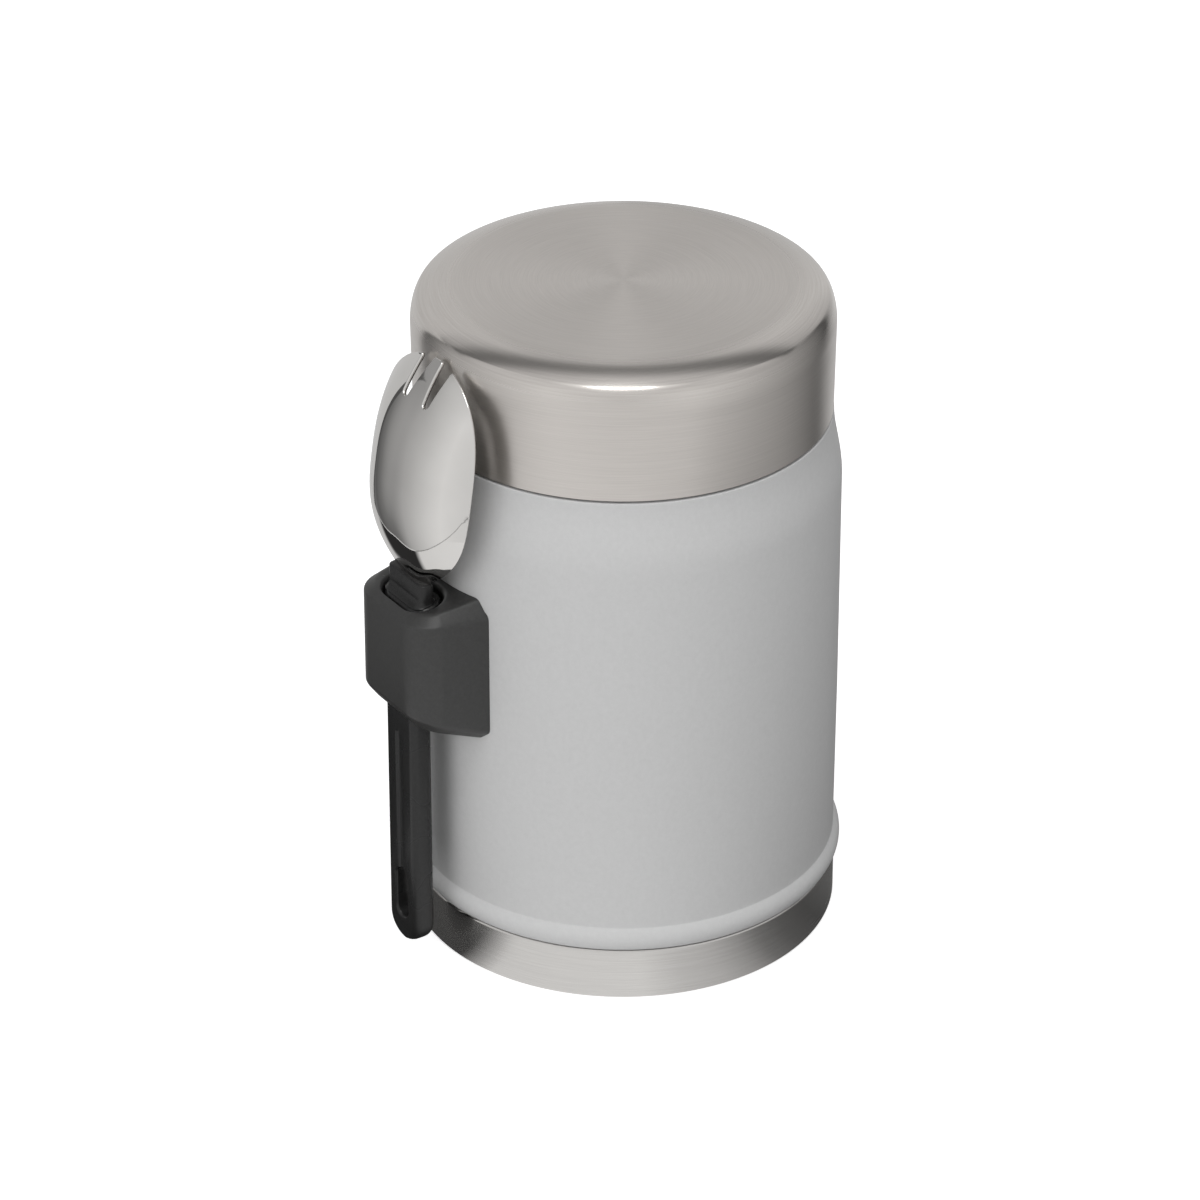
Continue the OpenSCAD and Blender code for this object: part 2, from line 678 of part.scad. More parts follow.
// The black handle: block in the chamber, grip below it, collar round the steel neck
module spork_handle() {
    grip_top = chamber_z + block_t / 4;
    end_r = grip_w / 2;
    color(plastic) difference() {
        union() {
            intersection() {
                translate([0, -handle_reach, chamber_z + bond_gap])
                    linear_extrude(holder_side_h) stadium(block_w, block_t);
                translate([0, -handle_reach, rim_at_handle - run_gap]) rotate([atan(top_slope), 0, 0])
                    translate([-block_w, -block_w, -holder_side_h])
                        cube([2 * block_w, 2 * block_w, holder_side_h]);
            }
            intersection() {
                translate([0, -grip_reach, grip_end_z]) linear_extrude(grip_top - grip_end_z)
                    round_rect(grip_w, grip_t, grip_corner);
                facing(grip_reach, 2 * grip_t) union() {
                    translate([0, grip_end_z + end_r]) circle(r = end_r);
                    translate([-grip_w, grip_end_z + end_r]) square([2 * grip_w, grip_top]);
                }
            }
            translate([0, -collar_reach, chamber_z + block_t])
                linear_extrude(collar_top - chamber_z - block_t)
                    round_rect(collar_w, collar_t, collar_t * 2 / 5);
        }
        facing(grip_reach, 2 * grip_t) translate([0, hang_z]) rotate(90) stadium(hang_len, hang_w);
        translate([-groove_w / 2, -grip_reach - grip_t / 2 - overrun, hang_z])
            cube([groove_w, overrun + groove_depth, hang_len / 2 + groove_len]);
        translate([-tang_w / 2 - bond_gap, -tang_reach - bond_gap, tang_z - bond_gap])
            cube([tang_w + 2 * bond_gap, head_t + 2 * bond_gap, tang_len + overrun]);
        translate([-neck_half - bond_gap, -neck_reach - neck_bulge - bond_gap,
                collar_top - neck_sink - bond_gap])
            cube([2 * (neck_half + bond_gap), neck_bulge + head_t + 2 * bond_gap, neck_sink + overrun]);
    }
}

outer_shell();
inner_vessel();
base_cup();
base_plate();
vacuum_seal();
getter();
getter_clip();
heat_foil();
lid_shell();
lid_liner();
lid_insulation();
lid_gasket();
holder();
holder_bracket();
holder_screws();
spork_head();
spork_handle();
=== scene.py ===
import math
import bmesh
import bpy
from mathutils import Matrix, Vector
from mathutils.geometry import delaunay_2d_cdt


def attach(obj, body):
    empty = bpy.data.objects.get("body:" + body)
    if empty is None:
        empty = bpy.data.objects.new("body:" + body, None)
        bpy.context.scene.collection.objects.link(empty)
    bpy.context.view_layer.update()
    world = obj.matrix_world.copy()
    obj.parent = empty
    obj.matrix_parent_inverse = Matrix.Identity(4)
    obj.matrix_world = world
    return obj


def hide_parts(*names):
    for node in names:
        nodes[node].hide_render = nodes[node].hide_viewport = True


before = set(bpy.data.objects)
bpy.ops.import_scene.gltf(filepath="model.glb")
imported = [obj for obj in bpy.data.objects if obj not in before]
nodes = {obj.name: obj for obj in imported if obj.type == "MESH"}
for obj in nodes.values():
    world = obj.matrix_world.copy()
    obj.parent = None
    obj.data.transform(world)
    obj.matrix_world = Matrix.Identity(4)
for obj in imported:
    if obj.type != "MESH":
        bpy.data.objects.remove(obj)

# %% [markdown]
# # An insulated food jar, piece by piece
# The jar is a steel vacuum flask with a powder coat, a screw-on steel cap and a spork that stands in a black
# holder on its side. The frame holds the plain solids. Each cell below builds one real piece over its solid, in
# the same place, with the rounded edges and the finish that the real piece has.
# The solids could be dressed as they are, but their facets would show on curved steel. So most pieces are built
# again from the same sizes, and the plain solid stays behind them for the physics.

MM = 0.001
bpy.context.scene.view_settings.view_transform = "Standard"
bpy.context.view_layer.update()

# %% [markdown]
# ## Sizes
# These are the sizes of the part's own drawing, in millimetres. They are kept in one place so that a change in
# the drawing is one change here. The spork holder faces -Y, and Z is the jar's axis.

# %% Sizes in millimetres
BODY_R, WAIST_R, SHOULDER_R = 45.0, 44.75, 43.1
SHOULDER_H, SHOULDER_CURVE_H, BAND_H = 116.2, 15.7, 11.9
BEAD_H, BEAD_OUT, SHELL_WALL = 5.3, 1.4, 0.8
RIM_Z, LID_Z, LID_TOP, LID_R = 132.2, 116.6, 144.2, 43.0
LID_FLARE, LID_EDGE_H, LID_EDGE_IN, LID_CROWN, LID_LEAN, LID_WALL = 0.3, 6.1, 2.4, 19.0, 60.0, 0.6
LINER_R, LINER_IN, NECK_R, THROAT_R, MOUTH_R = 42.35, 40.85, 39.3, 37.1, 36.5
PLUG_R, PLUG_Z, ROOF_Z, GASKET_Z = 35.3, 127.0, 134.0, 132.4
BASE_EDGE, PLATE_R, LIP_T, THREAD_LEAD, THREAD_DEPTH = 0.9, 38.1, 0.9, 10.0, 1.2
HOLDER_REACH, HOLDER_HALF, HOLDER_FRONT_HALF, HOLDER_CORNER = 58.0, 15.2, 13.4, 7.2
HOLDER_Z, HOLDER_SIDE_H, HOLDER_BEVEL, HOLDER_CROWN = 58.8, 27.2, 2.6, 3.7
TOP_SLOPE, BOTTOM_SLOPE, RUN_GAP = 0.17, 0.37, 0.4
HOLDER_TOP = HOLDER_Z + HOLDER_SIDE_H
BACK_REACH = math.sqrt(BODY_R ** 2 - HOLDER_HALF ** 2)
HANDLE_REACH, BLOCK_W, BLOCK_T, GRIP_W, GRIP_T = 51.35, 14.8, 8.0, 10.8, 5.0
RIM_AT_HANDLE = HOLDER_TOP + HOLDER_CROWN - TOP_SLOPE * (HANDLE_REACH - BACK_REACH)
CHAMBER_Z = RIM_AT_HANDLE - 15.5 - RUN_GAP
GRIP_REACH = HANDLE_REACH + BLOCK_T / 2 - GRIP_T / 2
GRIP_END_Z, HANG_W, HANG_LEN, HANG_UP = 5.6, 4.8, 12.3, 5.3
COLLAR_W, COLLAR_T, COLLAR_TOP = 13.0, 3.4, RIM_AT_HANDLE + 4.4
HEAD_LEN, BOWL_HALF, NECK_HALF, WIDE_UP, BOWL_DEPTH = 46.3, 17.2, 5.8, 21.8, 7.6
NECK_REACH, RIM_LEAN, HEAD_T = HANDLE_REACH + 0.1, 0.144, 1.0
SLOT_OFF, SLOT_R, SLOT_DEPTH, TINE_HALF, TINE_OFF = 3.65, 0.95, 7.7, 1.25, 5.5
TIP_Z = COLLAR_TOP + HEAD_LEN
FIT = 0.05  # the play between two pieces that are pressed or welded together
print("spork tip at", round(TIP_Z, 2), "collar top at", round(COLLAR_TOP, 2))

# %% [markdown]
# ## The camera
# The photograph looks down at about thirty degrees from the holder's side, with a long lens. The place, turn and
# focal length below were solved from the ellipses of the lid, the seam and the foot.

# %% Camera at the photograph's angle
EYE, LOOK_AT = Vector((875.6, -590.6, 676.95)) * MM, Vector((0, 0, 70)) * MM
PHOTO_PX, SENSOR_MM, FOCAL_PX, CENTRE_X, CENTRE_Y = 1200, 36, 5848.6, 622.9, 598.2
PHOTO_TURN = math.radians(56)
RIGHT = Vector((math.cos(PHOTO_TURN), math.sin(PHOTO_TURN), 0))
ahead = (LOOK_AT - EYE).normalized()
upward = RIGHT.cross(ahead)
ahead -= RIGHT * ((CENTRE_X - PHOTO_PX / 2) / FOCAL_PX) + upward * ((PHOTO_PX / 2 - CENTRE_Y) / FOCAL_PX)
ahead.normalize()
side = ahead.cross(Vector((0, 0, 1))).normalized()
lens = bpy.data.cameras.new("photo_camera")
lens.sensor_width = SENSOR_MM
lens.lens = FOCAL_PX * SENSOR_MM / PHOTO_PX
lens.clip_start, lens.clip_end = 0.05, 30
camera = bpy.data.objects.new("photo_camera", lens)
bpy.context.scene.collection.objects.link(camera)
camera.matrix_world = Matrix.Translation(EYE) @ Matrix((side, side.cross(ahead), -ahead)).transposed().to_4x4()
bpy.context.scene.camera = camera
TOWARDS_EYE = Vector((EYE.x, EYE.y, 0)).normalized()
print("lens", round(lens.lens, 1), "mm, distance", round(EYE.length, 3), "m")

# %% [markdown]
# ## Helpers for meshes
# A spun piece is a closed outline of radius and height that turns round the jar's axis. Real sheet metal has no
# knife edges, so `softened` rounds the corners of an outline before it is spun. `stacked` joins level or sloped
# rings into a closed skin, which suits moulded pieces whose section changes with height.

# %% Outlines and rings
def arc(centre, radius, start, end, steps=10):
    turns = [math.radians(start + (end - start) * i / steps) for i in range(steps + 1)]
    return [(centre[0] + radius * math.cos(a), centre[1] + radius * math.sin(a)) for a in turns]


def bent(first, corner, last, steps):
    """Points from first to last on the curve that cuts a corner off."""
    return [tuple(first * (1 - t) ** 2 + corner * 2 * t * (1 - t) + last * t ** 2)
            for t in (k / steps for k in range(steps + 1))]


def quarter(steps):
    """A rounded edge in steps: how far it has left the first side, and what it lacks of the second."""
    turns = [math.radians(90 * k / steps) for k in range(steps + 1)]
    return [(1 - math.cos(a), 1 - math.sin(a)) for a in turns]


def softened(outline, radius, steps=4, least=18):
    """Rounds each corner of a closed outline that turns by more than a few degrees. The axis stays."""
    soft = []
    for i, here in enumerate(outline):
        before, after = Vector(outline[i - 1]), Vector(outline[(i + 1) % len(outline)])
        corner = Vector(here)
        back, on = before - corner, after - corner
        turn = 180 - math.degrees(back.angle(on)) if back.length and on.length else 0
        if turn < least or corner.x < 1e-6:
            soft.append(tuple(here))
            continue
        cut = min(radius, 0.45 * back.length, 0.45 * on.length)
        soft += bent(corner + back.normalized() * cut, corner, corner + on.normalized() * cut, steps)
    return soft


def rounded_rectangle(half_w, half_t, radius, corner_steps=7):
    """Points anticlockwise round a rectangle with round corners, the same number for any size."""
    radius = min(radius, half_w, half_t)
    points = []
    for sx, sy, start in ((1, 1, 0), (-1, 1, 90), (-1, -1, 180), (1, -1, 270)):
        points += arc((sx * (half_w - radius), sy * (half_t - radius)), radius, start, start + 90, corner_steps)
    return points


# %% Skins from outlines and rings
def spun(outline, steps=180):
    """Spins a closed outline of (radius, height) round the jar's axis."""
    mesh = bmesh.new()
    rings = []
    for radius, height in outline:
        turns = [2 * math.pi * i / steps for i in range(steps)] if radius > 1e-6 else [0.0]
        rings.append([mesh.verts.new((radius * MM * math.cos(a), radius * MM * math.sin(a), height * MM))
                      for a in turns])
    for ring, following in zip(rings, rings[1:] + rings[:1]):
        if len(ring) == len(following) == 1:
            continue
        for i in range(steps):
            corners = [ring[i % len(ring)], ring[(i + 1) % len(ring)],
                       following[(i + 1) % len(following)], following[i % len(following)]]
            mesh.faces.new(list(dict.fromkeys(corners)))
    bmesh.ops.recalc_face_normals(mesh, faces=mesh.faces)
    return mesh


def stacked(rings):
    """Joins rings of as many points each into a closed skin with flat ends."""
    mesh = bmesh.new()
    loops = [[mesh.verts.new([c * MM for c in point]) for point in ring] for ring in rings]
    count = len(loops[0])
    for low, high in zip(loops, loops[1:]):
        for i in range(count):
            mesh.faces.new([low[i], low[(i + 1) % count], high[(i + 1) % count], high[i]])
    mesh.faces.new(list(reversed(loops[0])))
    mesh.faces.new(loops[-1])
    bmesh.ops.recalc_face_normals(mesh, faces=mesh.faces)
    return mesh


# %% From a skin to a piece of the jar
def object_from(name, mesh):
    data = bpy.data.meshes.new(name)
    mesh.to_mesh(data)
    mesh.free()
    piece = bpy.data.objects.new(name, data)
    bpy.context.scene.collection.objects.link(piece)
    return piece


def shaded(piece, crease=35):
    """Smooth shading, with a hard line where the skin turns by more than the crease."""
    skin = bmesh.new()
    skin.from_mesh(piece.data)
    for face in skin.faces:
        face.smooth = True
    for edge in skin.edges:
        edge.smooth = len(edge.link_faces) != 2 or edge.calc_face_angle(0) < math.radians(crease)
    skin.to_mesh(piece.data)
    skin.free()
    return piece


def applied(piece):
    """Makes the result of the piece's modifiers its mesh."""
    graph = bpy.context.evaluated_depsgraph_get()
    result = bpy.data.meshes.new_from_object(piece.evaluated_get(graph))
    piece.modifiers.clear()
    piece.data = result
    return piece


def carved(piece, cutters):
    """Takes the cutters out of the piece, one after the other."""
    for cutter in cutters:
        cut = piece.modifiers.new("cut", "BOOLEAN")
        cut.operation, cut.solver, cut.object = "DIFFERENCE", "EXACT", cutter
    applied(piece)
    for cutter in cutters:
        bpy.data.objects.remove(cutter)
    return piece


def dressed(piece, body, slot, *stands_for):
    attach(piece, body)
    if stands_for:
        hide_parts(*stands_for)
    print(piece.name, "->", body, "faces:", len(piece.data.polygons))
    return piece


# %% [markdown]
# ## Shared effects
# Three effects return on several finishes: the fine lines that a lathe or a brushing belt leaves round the axis,
# the grain of a mould or a powder coat, and the slow unevenness that handling leaves on a sheen. Each is a node
# group with named inputs and outputs, so that a material can set its own scale and strength.

# %% Helpers for nodes
def feed(tree, value, socket):
    """Links a socket to the value, or sets it to a plain number or colour. One number for a colour is a grey."""
    if isinstance(value, bpy.types.NodeSocket):
        tree.links.new(value, socket)
    elif socket.type == "RGBA" and isinstance(value, (int, float)):
        socket.default_value = (value, value, value, 1)
    else:
        socket.default_value = value


def added(tree, kind, feeds):
    """Adds a node and feeds its inputs, which are named or numbered."""
    node = tree.nodes.new(kind)
    for label, value in feeds.items():
        feed(tree, value, node.inputs[label])
    return node


def maths(tree, operation, *values, kind="ShaderNodeMath"):
    node = tree.nodes.new(kind)
    node.operation = operation
    for value, socket in zip(values, node.inputs):
        feed(tree, value, socket)
    return node.outputs["Value"]


def noise(tree, vector, scale, detail, rough):
    feeds = {"Vector": vector, "Scale": scale, "Detail": detail, "Roughness": rough}
    return added(tree, "ShaderNodeTexNoise", feeds).outputs["Fac"]


# %% Helpers for node groups
def new_group(name, inputs, outputs):
    """Inputs are names and defaults. A default of three numbers makes a vector socket."""
    tree = bpy.data.node_groups.new(name, "ShaderNodeTree")
    for label, value in inputs.items():
        kind = "NodeSocketVector" if isinstance(value, tuple) else "NodeSocketFloat"
        tree.interface.new_socket(label, in_out="INPUT", socket_type=kind).default_value = value
    for label in outputs:
        tree.interface.new_socket(label, in_out="OUTPUT", socket_type="NodeSocketFloat")
    return tree, tree.nodes.new("NodeGroupInput"), tree.nodes.new("NodeGroupOutput")


def placed(tree, group, **values):
    node = tree.nodes.new("ShaderNodeGroup")
    node.node_tree = group
    for label, value in values.items():
        feed(tree, value, node.inputs[label.replace("_", " ")])
    return node.outputs


# %% Lines that run round the axis
AXIS_LEAST, SHEEN_ALONG, SHEEN_ACROSS = 0.0005, 1.6, 0.08
lines, lines_in, lines_out = new_group("lines round the axis", {"Along": 3.0, "Across": 2500.0}, ["Line", "Sheen"])
place = lines.nodes.new("ShaderNodeTexCoord").outputs["Object"]
split = lines.nodes.new("ShaderNodeSeparateXYZ")
lines.links.new(place, split.inputs[0])
px, py, pz = split.outputs
squares = maths(lines, "ADD", maths(lines, "MULTIPLY", px, px), maths(lines, "MULTIPLY", py, py))
from_axis = maths(lines, "SQRT", squares)
safe = maths(lines, "MAXIMUM", from_axis, AXIS_LEAST)


def round_axis(along, across):
    """Noise whose cells are long round the axis and thin across it."""
    join = added(lines, "ShaderNodeCombineXYZ", {
        "X": maths(lines, "MULTIPLY", maths(lines, "DIVIDE", px, safe), along),
        "Y": maths(lines, "MULTIPLY", maths(lines, "DIVIDE", py, safe), along),
        "Z": maths(lines, "MULTIPLY", maths(lines, "ADD", from_axis, pz), across)})
    return noise(lines, join.outputs[0], 1.0, 4.0, 0.7)


lines.links.new(round_axis(lines_in.outputs["Along"], lines_in.outputs["Across"]), lines_out.inputs["Line"])
wide = maths(lines, "MULTIPLY", lines_in.outputs["Across"], SHEEN_ACROSS)
lines.links.new(round_axis(SHEEN_ALONG, wide), lines_out.inputs["Sheen"])

# %% Grain of a mould or a powder coat
COARSE_SCALE = 0.35
grain, grain_in, grain_out = new_group("fine grain", {"Scale": 2500.0, "Coarse share": 0.4}, ["Height"])
place = grain.nodes.new("ShaderNodeTexCoord").outputs["Object"]
scale, share = grain_in.outputs["Scale"], grain_in.outputs["Coarse share"]
fine = noise(grain, place, scale, 3.0, 0.6)
coarse = noise(grain, place, maths(grain, "MULTIPLY", scale, COARSE_SCALE), 1.0, 0.5)
fine_part = maths(grain, "MULTIPLY", fine, maths(grain, "SUBTRACT", 1.0, share))
coarse_part = maths(grain, "MULTIPLY", coarse, share)
grain.links.new(maths(grain, "ADD", fine_part, coarse_part), grain_out.inputs["Height"])

# %% Slow unevenness of a handled sheen
handling, handling_in, handling_out = new_group("handling", {"Scale": 40.0}, ["Unevenness"])
place = handling.nodes.new("ShaderNodeTexCoord").outputs["Object"]
handling.links.new(noise(handling, place, handling_in.outputs["Scale"], 2.0, 0.5), handling_out.inputs["Unevenness"])
print("node groups:", [g.name for g in bpy.data.node_groups])

# %% [markdown]
# ## Finishes
# A finish is a Principled shader whose fixed numbers are set on its own sockets. Only what changes over the
# surface comes from the groups: colour between two close tones, roughness between two values, and a bump.

# %% Helpers for finishes
def finish(name, metal=0.0, **fixed):
    material = bpy.data.materials.new(name)
    material.use_nodes = True
    tree = material.node_tree
    shader = tree.nodes["Principled BSDF"]
    shader.inputs["Metallic"].default_value = metal
    for label, value in fixed.items():
        shader.inputs[label.replace("_", " ")].default_value = value
    return material, tree, shader


def ranged(tree, value, low, high, out_low, out_high):
    feeds = {"Value": value, "From Min": low, "From Max": high, "To Min": out_low, "To Max": out_high}
    return added(tree, "ShaderNodeMapRange", feeds).outputs["Result"]


def spread(tree, noisy, least, most):
    """Turns a noise, which mostly stays between 0.3 and 0.7, into a value between two others."""
    return ranged(tree, noisy, 0.3, 0.7, least, most)


def mixed(tree, factor, first, second):
    """Mixes two colours or greys."""
    node = tree.nodes.new("ShaderNodeMix")
    node.data_type = "RGBA"
    for label, value in (("Factor", factor), ("A", first), ("B", second)):
        feed(tree, value, node.inputs[label])
    return node.outputs["Result"]


def toned(tree, shader, noisy, dark, light):
    tone = mixed(tree, spread(tree, noisy, 0, 1), (*dark, 1), (*light, 1))
    tree.links.new(tone, shader.inputs["Base Color"])


def bumped(tree, shader, height, strength, distance):
    bump = added(tree, "ShaderNodeBump", {"Strength": strength, "Distance": distance, "Height": height})
    tree.links.new(bump.outputs["Normal"], shader.inputs["Normal"])


def object_normal(tree):
    """The three parts of the skin's direction, in the piece's own space."""
    normal = tree.nodes.new("ShaderNodeTexCoord").outputs["Normal"]
    return added(tree, "ShaderNodeSeparateXYZ", {0: normal}).outputs


# %% Steel that was brushed or turned round the axis
POLISHED_SHARE = 0.56


def turned_steel(name, dark, light, rough, stretch, line_depth=0.00002):
    """Rough is the middle roughness, and stretch is how far the brushing widens the highlights."""
    material, tree, shader = finish(name, metal=1.0, Anisotropic=stretch, Anisotropic_Rotation=0.25)
    marks = placed(tree, lines, Along=2.5, Across=6500.0)
    toned(tree, shader, marks["Line"], dark, light)
    sheen = spread(tree, marks["Sheen"], rough - 0.015, rough + 0.015)
    # up is 0 on an upright wall and 1 on a level face: the rolled edge between them was polished on
    up = maths(tree, "ABSOLUTE", object_normal(tree)["Z"])
    edge = maths(tree, "MULTIPLY", ranged(tree, up, 0.15, 0.4, 0, 1), ranged(tree, up, 0.97, 0.995, 1, 0))
    smoother = maths(tree, "MULTIPLY", sheen, ranged(tree, edge, 0, 1, 1, POLISHED_SHARE))
    tree.links.new(smoother, shader.inputs["Roughness"])
    bumped(tree, shader, marks["Line"], 0.12, line_depth)
    tangent = tree.nodes.new("ShaderNodeTangent")
    tangent.direction_type, tangent.axis = "RADIAL", "Z"
    tree.links.new(tangent.outputs["Tangent"], shader.inputs["Tangent"])
    return material


cap_steel = turned_steel("brushed cap steel", (0.62, 0.588, 0.558), (0.70, 0.665, 0.632), rough=0.33, stretch=0.75)
foot_steel = turned_steel("brushed foot steel", (0.61, 0.594, 0.575), (0.69, 0.674, 0.655), rough=0.26, stretch=0.9)
vessel_steel = turned_steel("satin vessel steel", (0.55, 0.545, 0.53), (0.64, 0.63, 0.61), rough=0.34, stretch=0.5)
foil = turned_steel("copper foil", (0.58, 0.28, 0.15), (0.72, 0.38, 0.22), rough=0.2, stretch=0.3, line_depth=0.00004)
screw_steel = turned_steel("screw steel", (0.45, 0.45, 0.45), (0.58, 0.58, 0.58), rough=0.3, stretch=0.2,
                           line_depth=0.00001)
print("turned metals:", [metal.name for metal in (cap_steel, foot_steel, vessel_steel, foil, screw_steel)])



# %% Powder coat
coat, tree, shader = finish("grey powder coat")
height = placed(tree, grain, Scale=2600.0, Coarse_share=0.5)["Height"]
toned(tree, shader, height, (0.505, 0.506, 0.506), (0.54, 0.541, 0.541))
tree.links.new(spread(tree, height, 0.58, 0.70), shader.inputs["Roughness"])
bumped(tree, shader, height, strength=0.25, distance=0.00008)
print("made:", coat.name)

# %% Polished steel of the spork
polished, tree, shader = finish("polished spork steel", metal=1.0)
wear = placed(tree, handling, Scale=120.0)["Unevenness"]
toned(tree, shader, wear, (0.70, 0.685, 0.665), (0.73, 0.715, 0.695))
# the hollow face, towards the jar, is satin
satin = ranged(tree, object_normal(tree)["Y"], 0.1, 0.3, 0, 0.18)
tree.links.new(maths(tree, "ADD", spread(tree, wear, 0.02, 0.05), satin), shader.inputs["Roughness"])
print("made:", polished.name)


# %% Moulded plastics, rubber and foam
def moulded(name, dark, light, rough, scale, depth, **fixed):
    """Scale and depth are those of the mould's grain."""
    material, tree, shader = finish(name, **fixed)
    height = placed(tree, grain, Scale=scale, Coarse_share=0.4)["Height"]
    wear = placed(tree, handling, Scale=60.0)["Unevenness"]
    toned(tree, shader, height, dark, light)
    tree.links.new(spread(tree, wear, rough - 0.05, rough + 0.07), shader.inputs["Roughness"])
    bumped(tree, shader, height, 0.3, depth)
    return material


def greys(dark, light):
    return (dark,) * 3, (light,) * 3


black_plastic = moulded("black moulded plastic", (0.023, 0.023, 0.0225), (0.033, 0.033, 0.0325),
                        rough=0.40, scale=3200.0, depth=0.00006)
grip_plastic = moulded("smooth black plastic", *greys(0.012, 0.018), rough=0.24, scale=3200.0, depth=0.00001,
                       Specular_IOR_Level=0.35)
liner_plastic = moulded("dark liner plastic", *greys(0.035, 0.05), rough=0.4, scale=2400.0, depth=0.00004)
silicone = moulded("pale silicone", (0.60, 0.60, 0.58), (0.70, 0.70, 0.68), rough=0.5, scale=1500.0, depth=0.00003,
                   Subsurface_Weight=0.15)
foam = moulded("cream foam", (0.74, 0.72, 0.63), (0.88, 0.86, 0.77), rough=0.9, scale=900.0, depth=0.0004)
seal_glass = moulded("dark seal glass", (0.08, 0.08, 0.09), (0.16, 0.16, 0.17), rough=0.25, scale=700.0,
                     depth=0.00005)
getter_metal = moulded("pressed getter powder", (0.12, 0.12, 0.13), (0.24, 0.24, 0.25), rough=0.8, scale=2200.0,
                       depth=0.0001)
print("finishes:", len(bpy.data.materials))

# %% [markdown]
# ## The painted shell
# The real shell is one steel tube: the bead and the soft shoulder are rolled in, and the powder coat ends at the
# bare foot band. One outline, spun, gives it all. The neck carries two rolled thread ridges, which are swept
# along a helix and fade out at both ends.

# %% Outline of the shell
def shoulder(inset, steps=24):
    rows = []
    for i in range(steps + 1):
        x = i / steps
        rows.append((SHOULDER_R + (BODY_R - SHOULDER_R) * (1 + math.cos(math.pi * x)) / 2 - inset,
                     SHOULDER_H - SHOULDER_CURVE_H * (1 - x) - inset * x))
    return rows


BEAD_ARC_R = ((BEAD_H / 2) ** 2 + BEAD_OUT ** 2) / (2 * BEAD_OUT)
BEAD_ANGLE = math.degrees(math.asin(BEAD_H / 2 / BEAD_ARC_R))
STRAIGHT_Z = 52.0  # from here up to the shoulder the wall is upright


def bead(inset):
    centre = (WAIST_R + BEAD_OUT - BEAD_ARC_R, BAND_H + BEAD_H / 2)
    return arc(centre, BEAD_ARC_R - inset, -BEAD_ANGLE, BEAD_ANGLE, 14)


outside = bead(0) + [(WAIST_R + 0.03, BAND_H + BEAD_H + 1.6), (BODY_R, STRAIGHT_Z)] + shoulder(0)
outside += [(NECK_R, SHOULDER_H), (NECK_R, RIM_Z - LIP_T)]
inside = bead(SHELL_WALL) + [(BODY_R - SHELL_WALL, STRAIGHT_Z)] + shoulder(SHELL_WALL)
inside += [(NECK_R - SHELL_WALL, SHOULDER_H - SHELL_WALL), (NECK_R - SHELL_WALL, RIM_Z - LIP_T)]
shell_outline = softened(outside + inside[::-1], 0.5)
print("points in the shell's outline:", len(shell_outline))


# %% Thread ridges
RIDGE_CREST = ((-1.15, 0), (-0.75, 0.62), (-0.4, 0.94), (0, 1), (0.4, 0.94), (0.75, 0.62), (1.15, 0))
RIDGE_ROOT = (1.35, -0.3)  # both sides of a ridge end inside the wall
FADE_STEPS = 12


def ridge(mesh, wall, side, level, turns, start, steps=150):
    """Adds one helical ridge to a skin: side is 1 on an outer wall and -1 on an inner one."""
    rings = []
    for i in range(steps + 1):
        share = min(1.0, i / FADE_STEPS, (steps - i) / FADE_STEPS)
        angle = math.radians(start + turns * 360 * i / steps)
        height = level + turns * THREAD_LEAD * i / steps
        crest = THREAD_DEPTH * math.sin(share * math.pi / 2)
        ring = []
        for up, out in [(-RIDGE_ROOT[0], RIDGE_ROOT[1]), *((up, out * crest) for up, out in RIDGE_CREST), RIDGE_ROOT]:
            radius = (wall + side * out) * MM
            ring.append(mesh.verts.new((radius * math.cos(angle), radius * math.sin(angle), (height + up) * MM)))
        rings.append(ring)
    for low, high in zip(rings, rings[1:]):
        for k in range(len(low) - 1):
            mesh.faces.new([low[k], low[k + 1], high[k + 1], high[k]])
    bmesh.ops.recalc_face_normals(mesh, faces=mesh.faces)


NECK_H, RIDGE_UP, LINER_CHAMFER = 16.0, 2.3, 0.5
RIDGES_APART = 2.05  # the lid's ridges run this far under those of the neck
MALE_Z = SHOULDER_H + RIDGE_UP
TURNS = (NECK_H - LIP_T - 2 * RIDGE_UP) / THREAD_LEAD
FEMALE_Z = LID_Z + FIT + LINER_CHAMFER + RIDGE_CREST[-1][0]
FEMALE_START = (FEMALE_Z + RIDGES_APART - MALE_Z) / THREAD_LEAD * 360
skin = spun(shell_outline)
for turn in (0, 180):
    ridge(skin, NECK_R, 1, MALE_Z, TURNS, turn)
shell = shaded(object_from("painted_shell", skin))
shell.data.materials.append(coat)
dressed(shell, "jar", "body_coat", "outer_shell")

# %% [markdown]
# ## The steel foot and its plate
# The foot is a spun cup of bare steel, brushed round the axis. It carries a narrow foot ring, and a round plate
# lies in the ring and hides the vent. A thin gap is left round the plate, as on the real one.

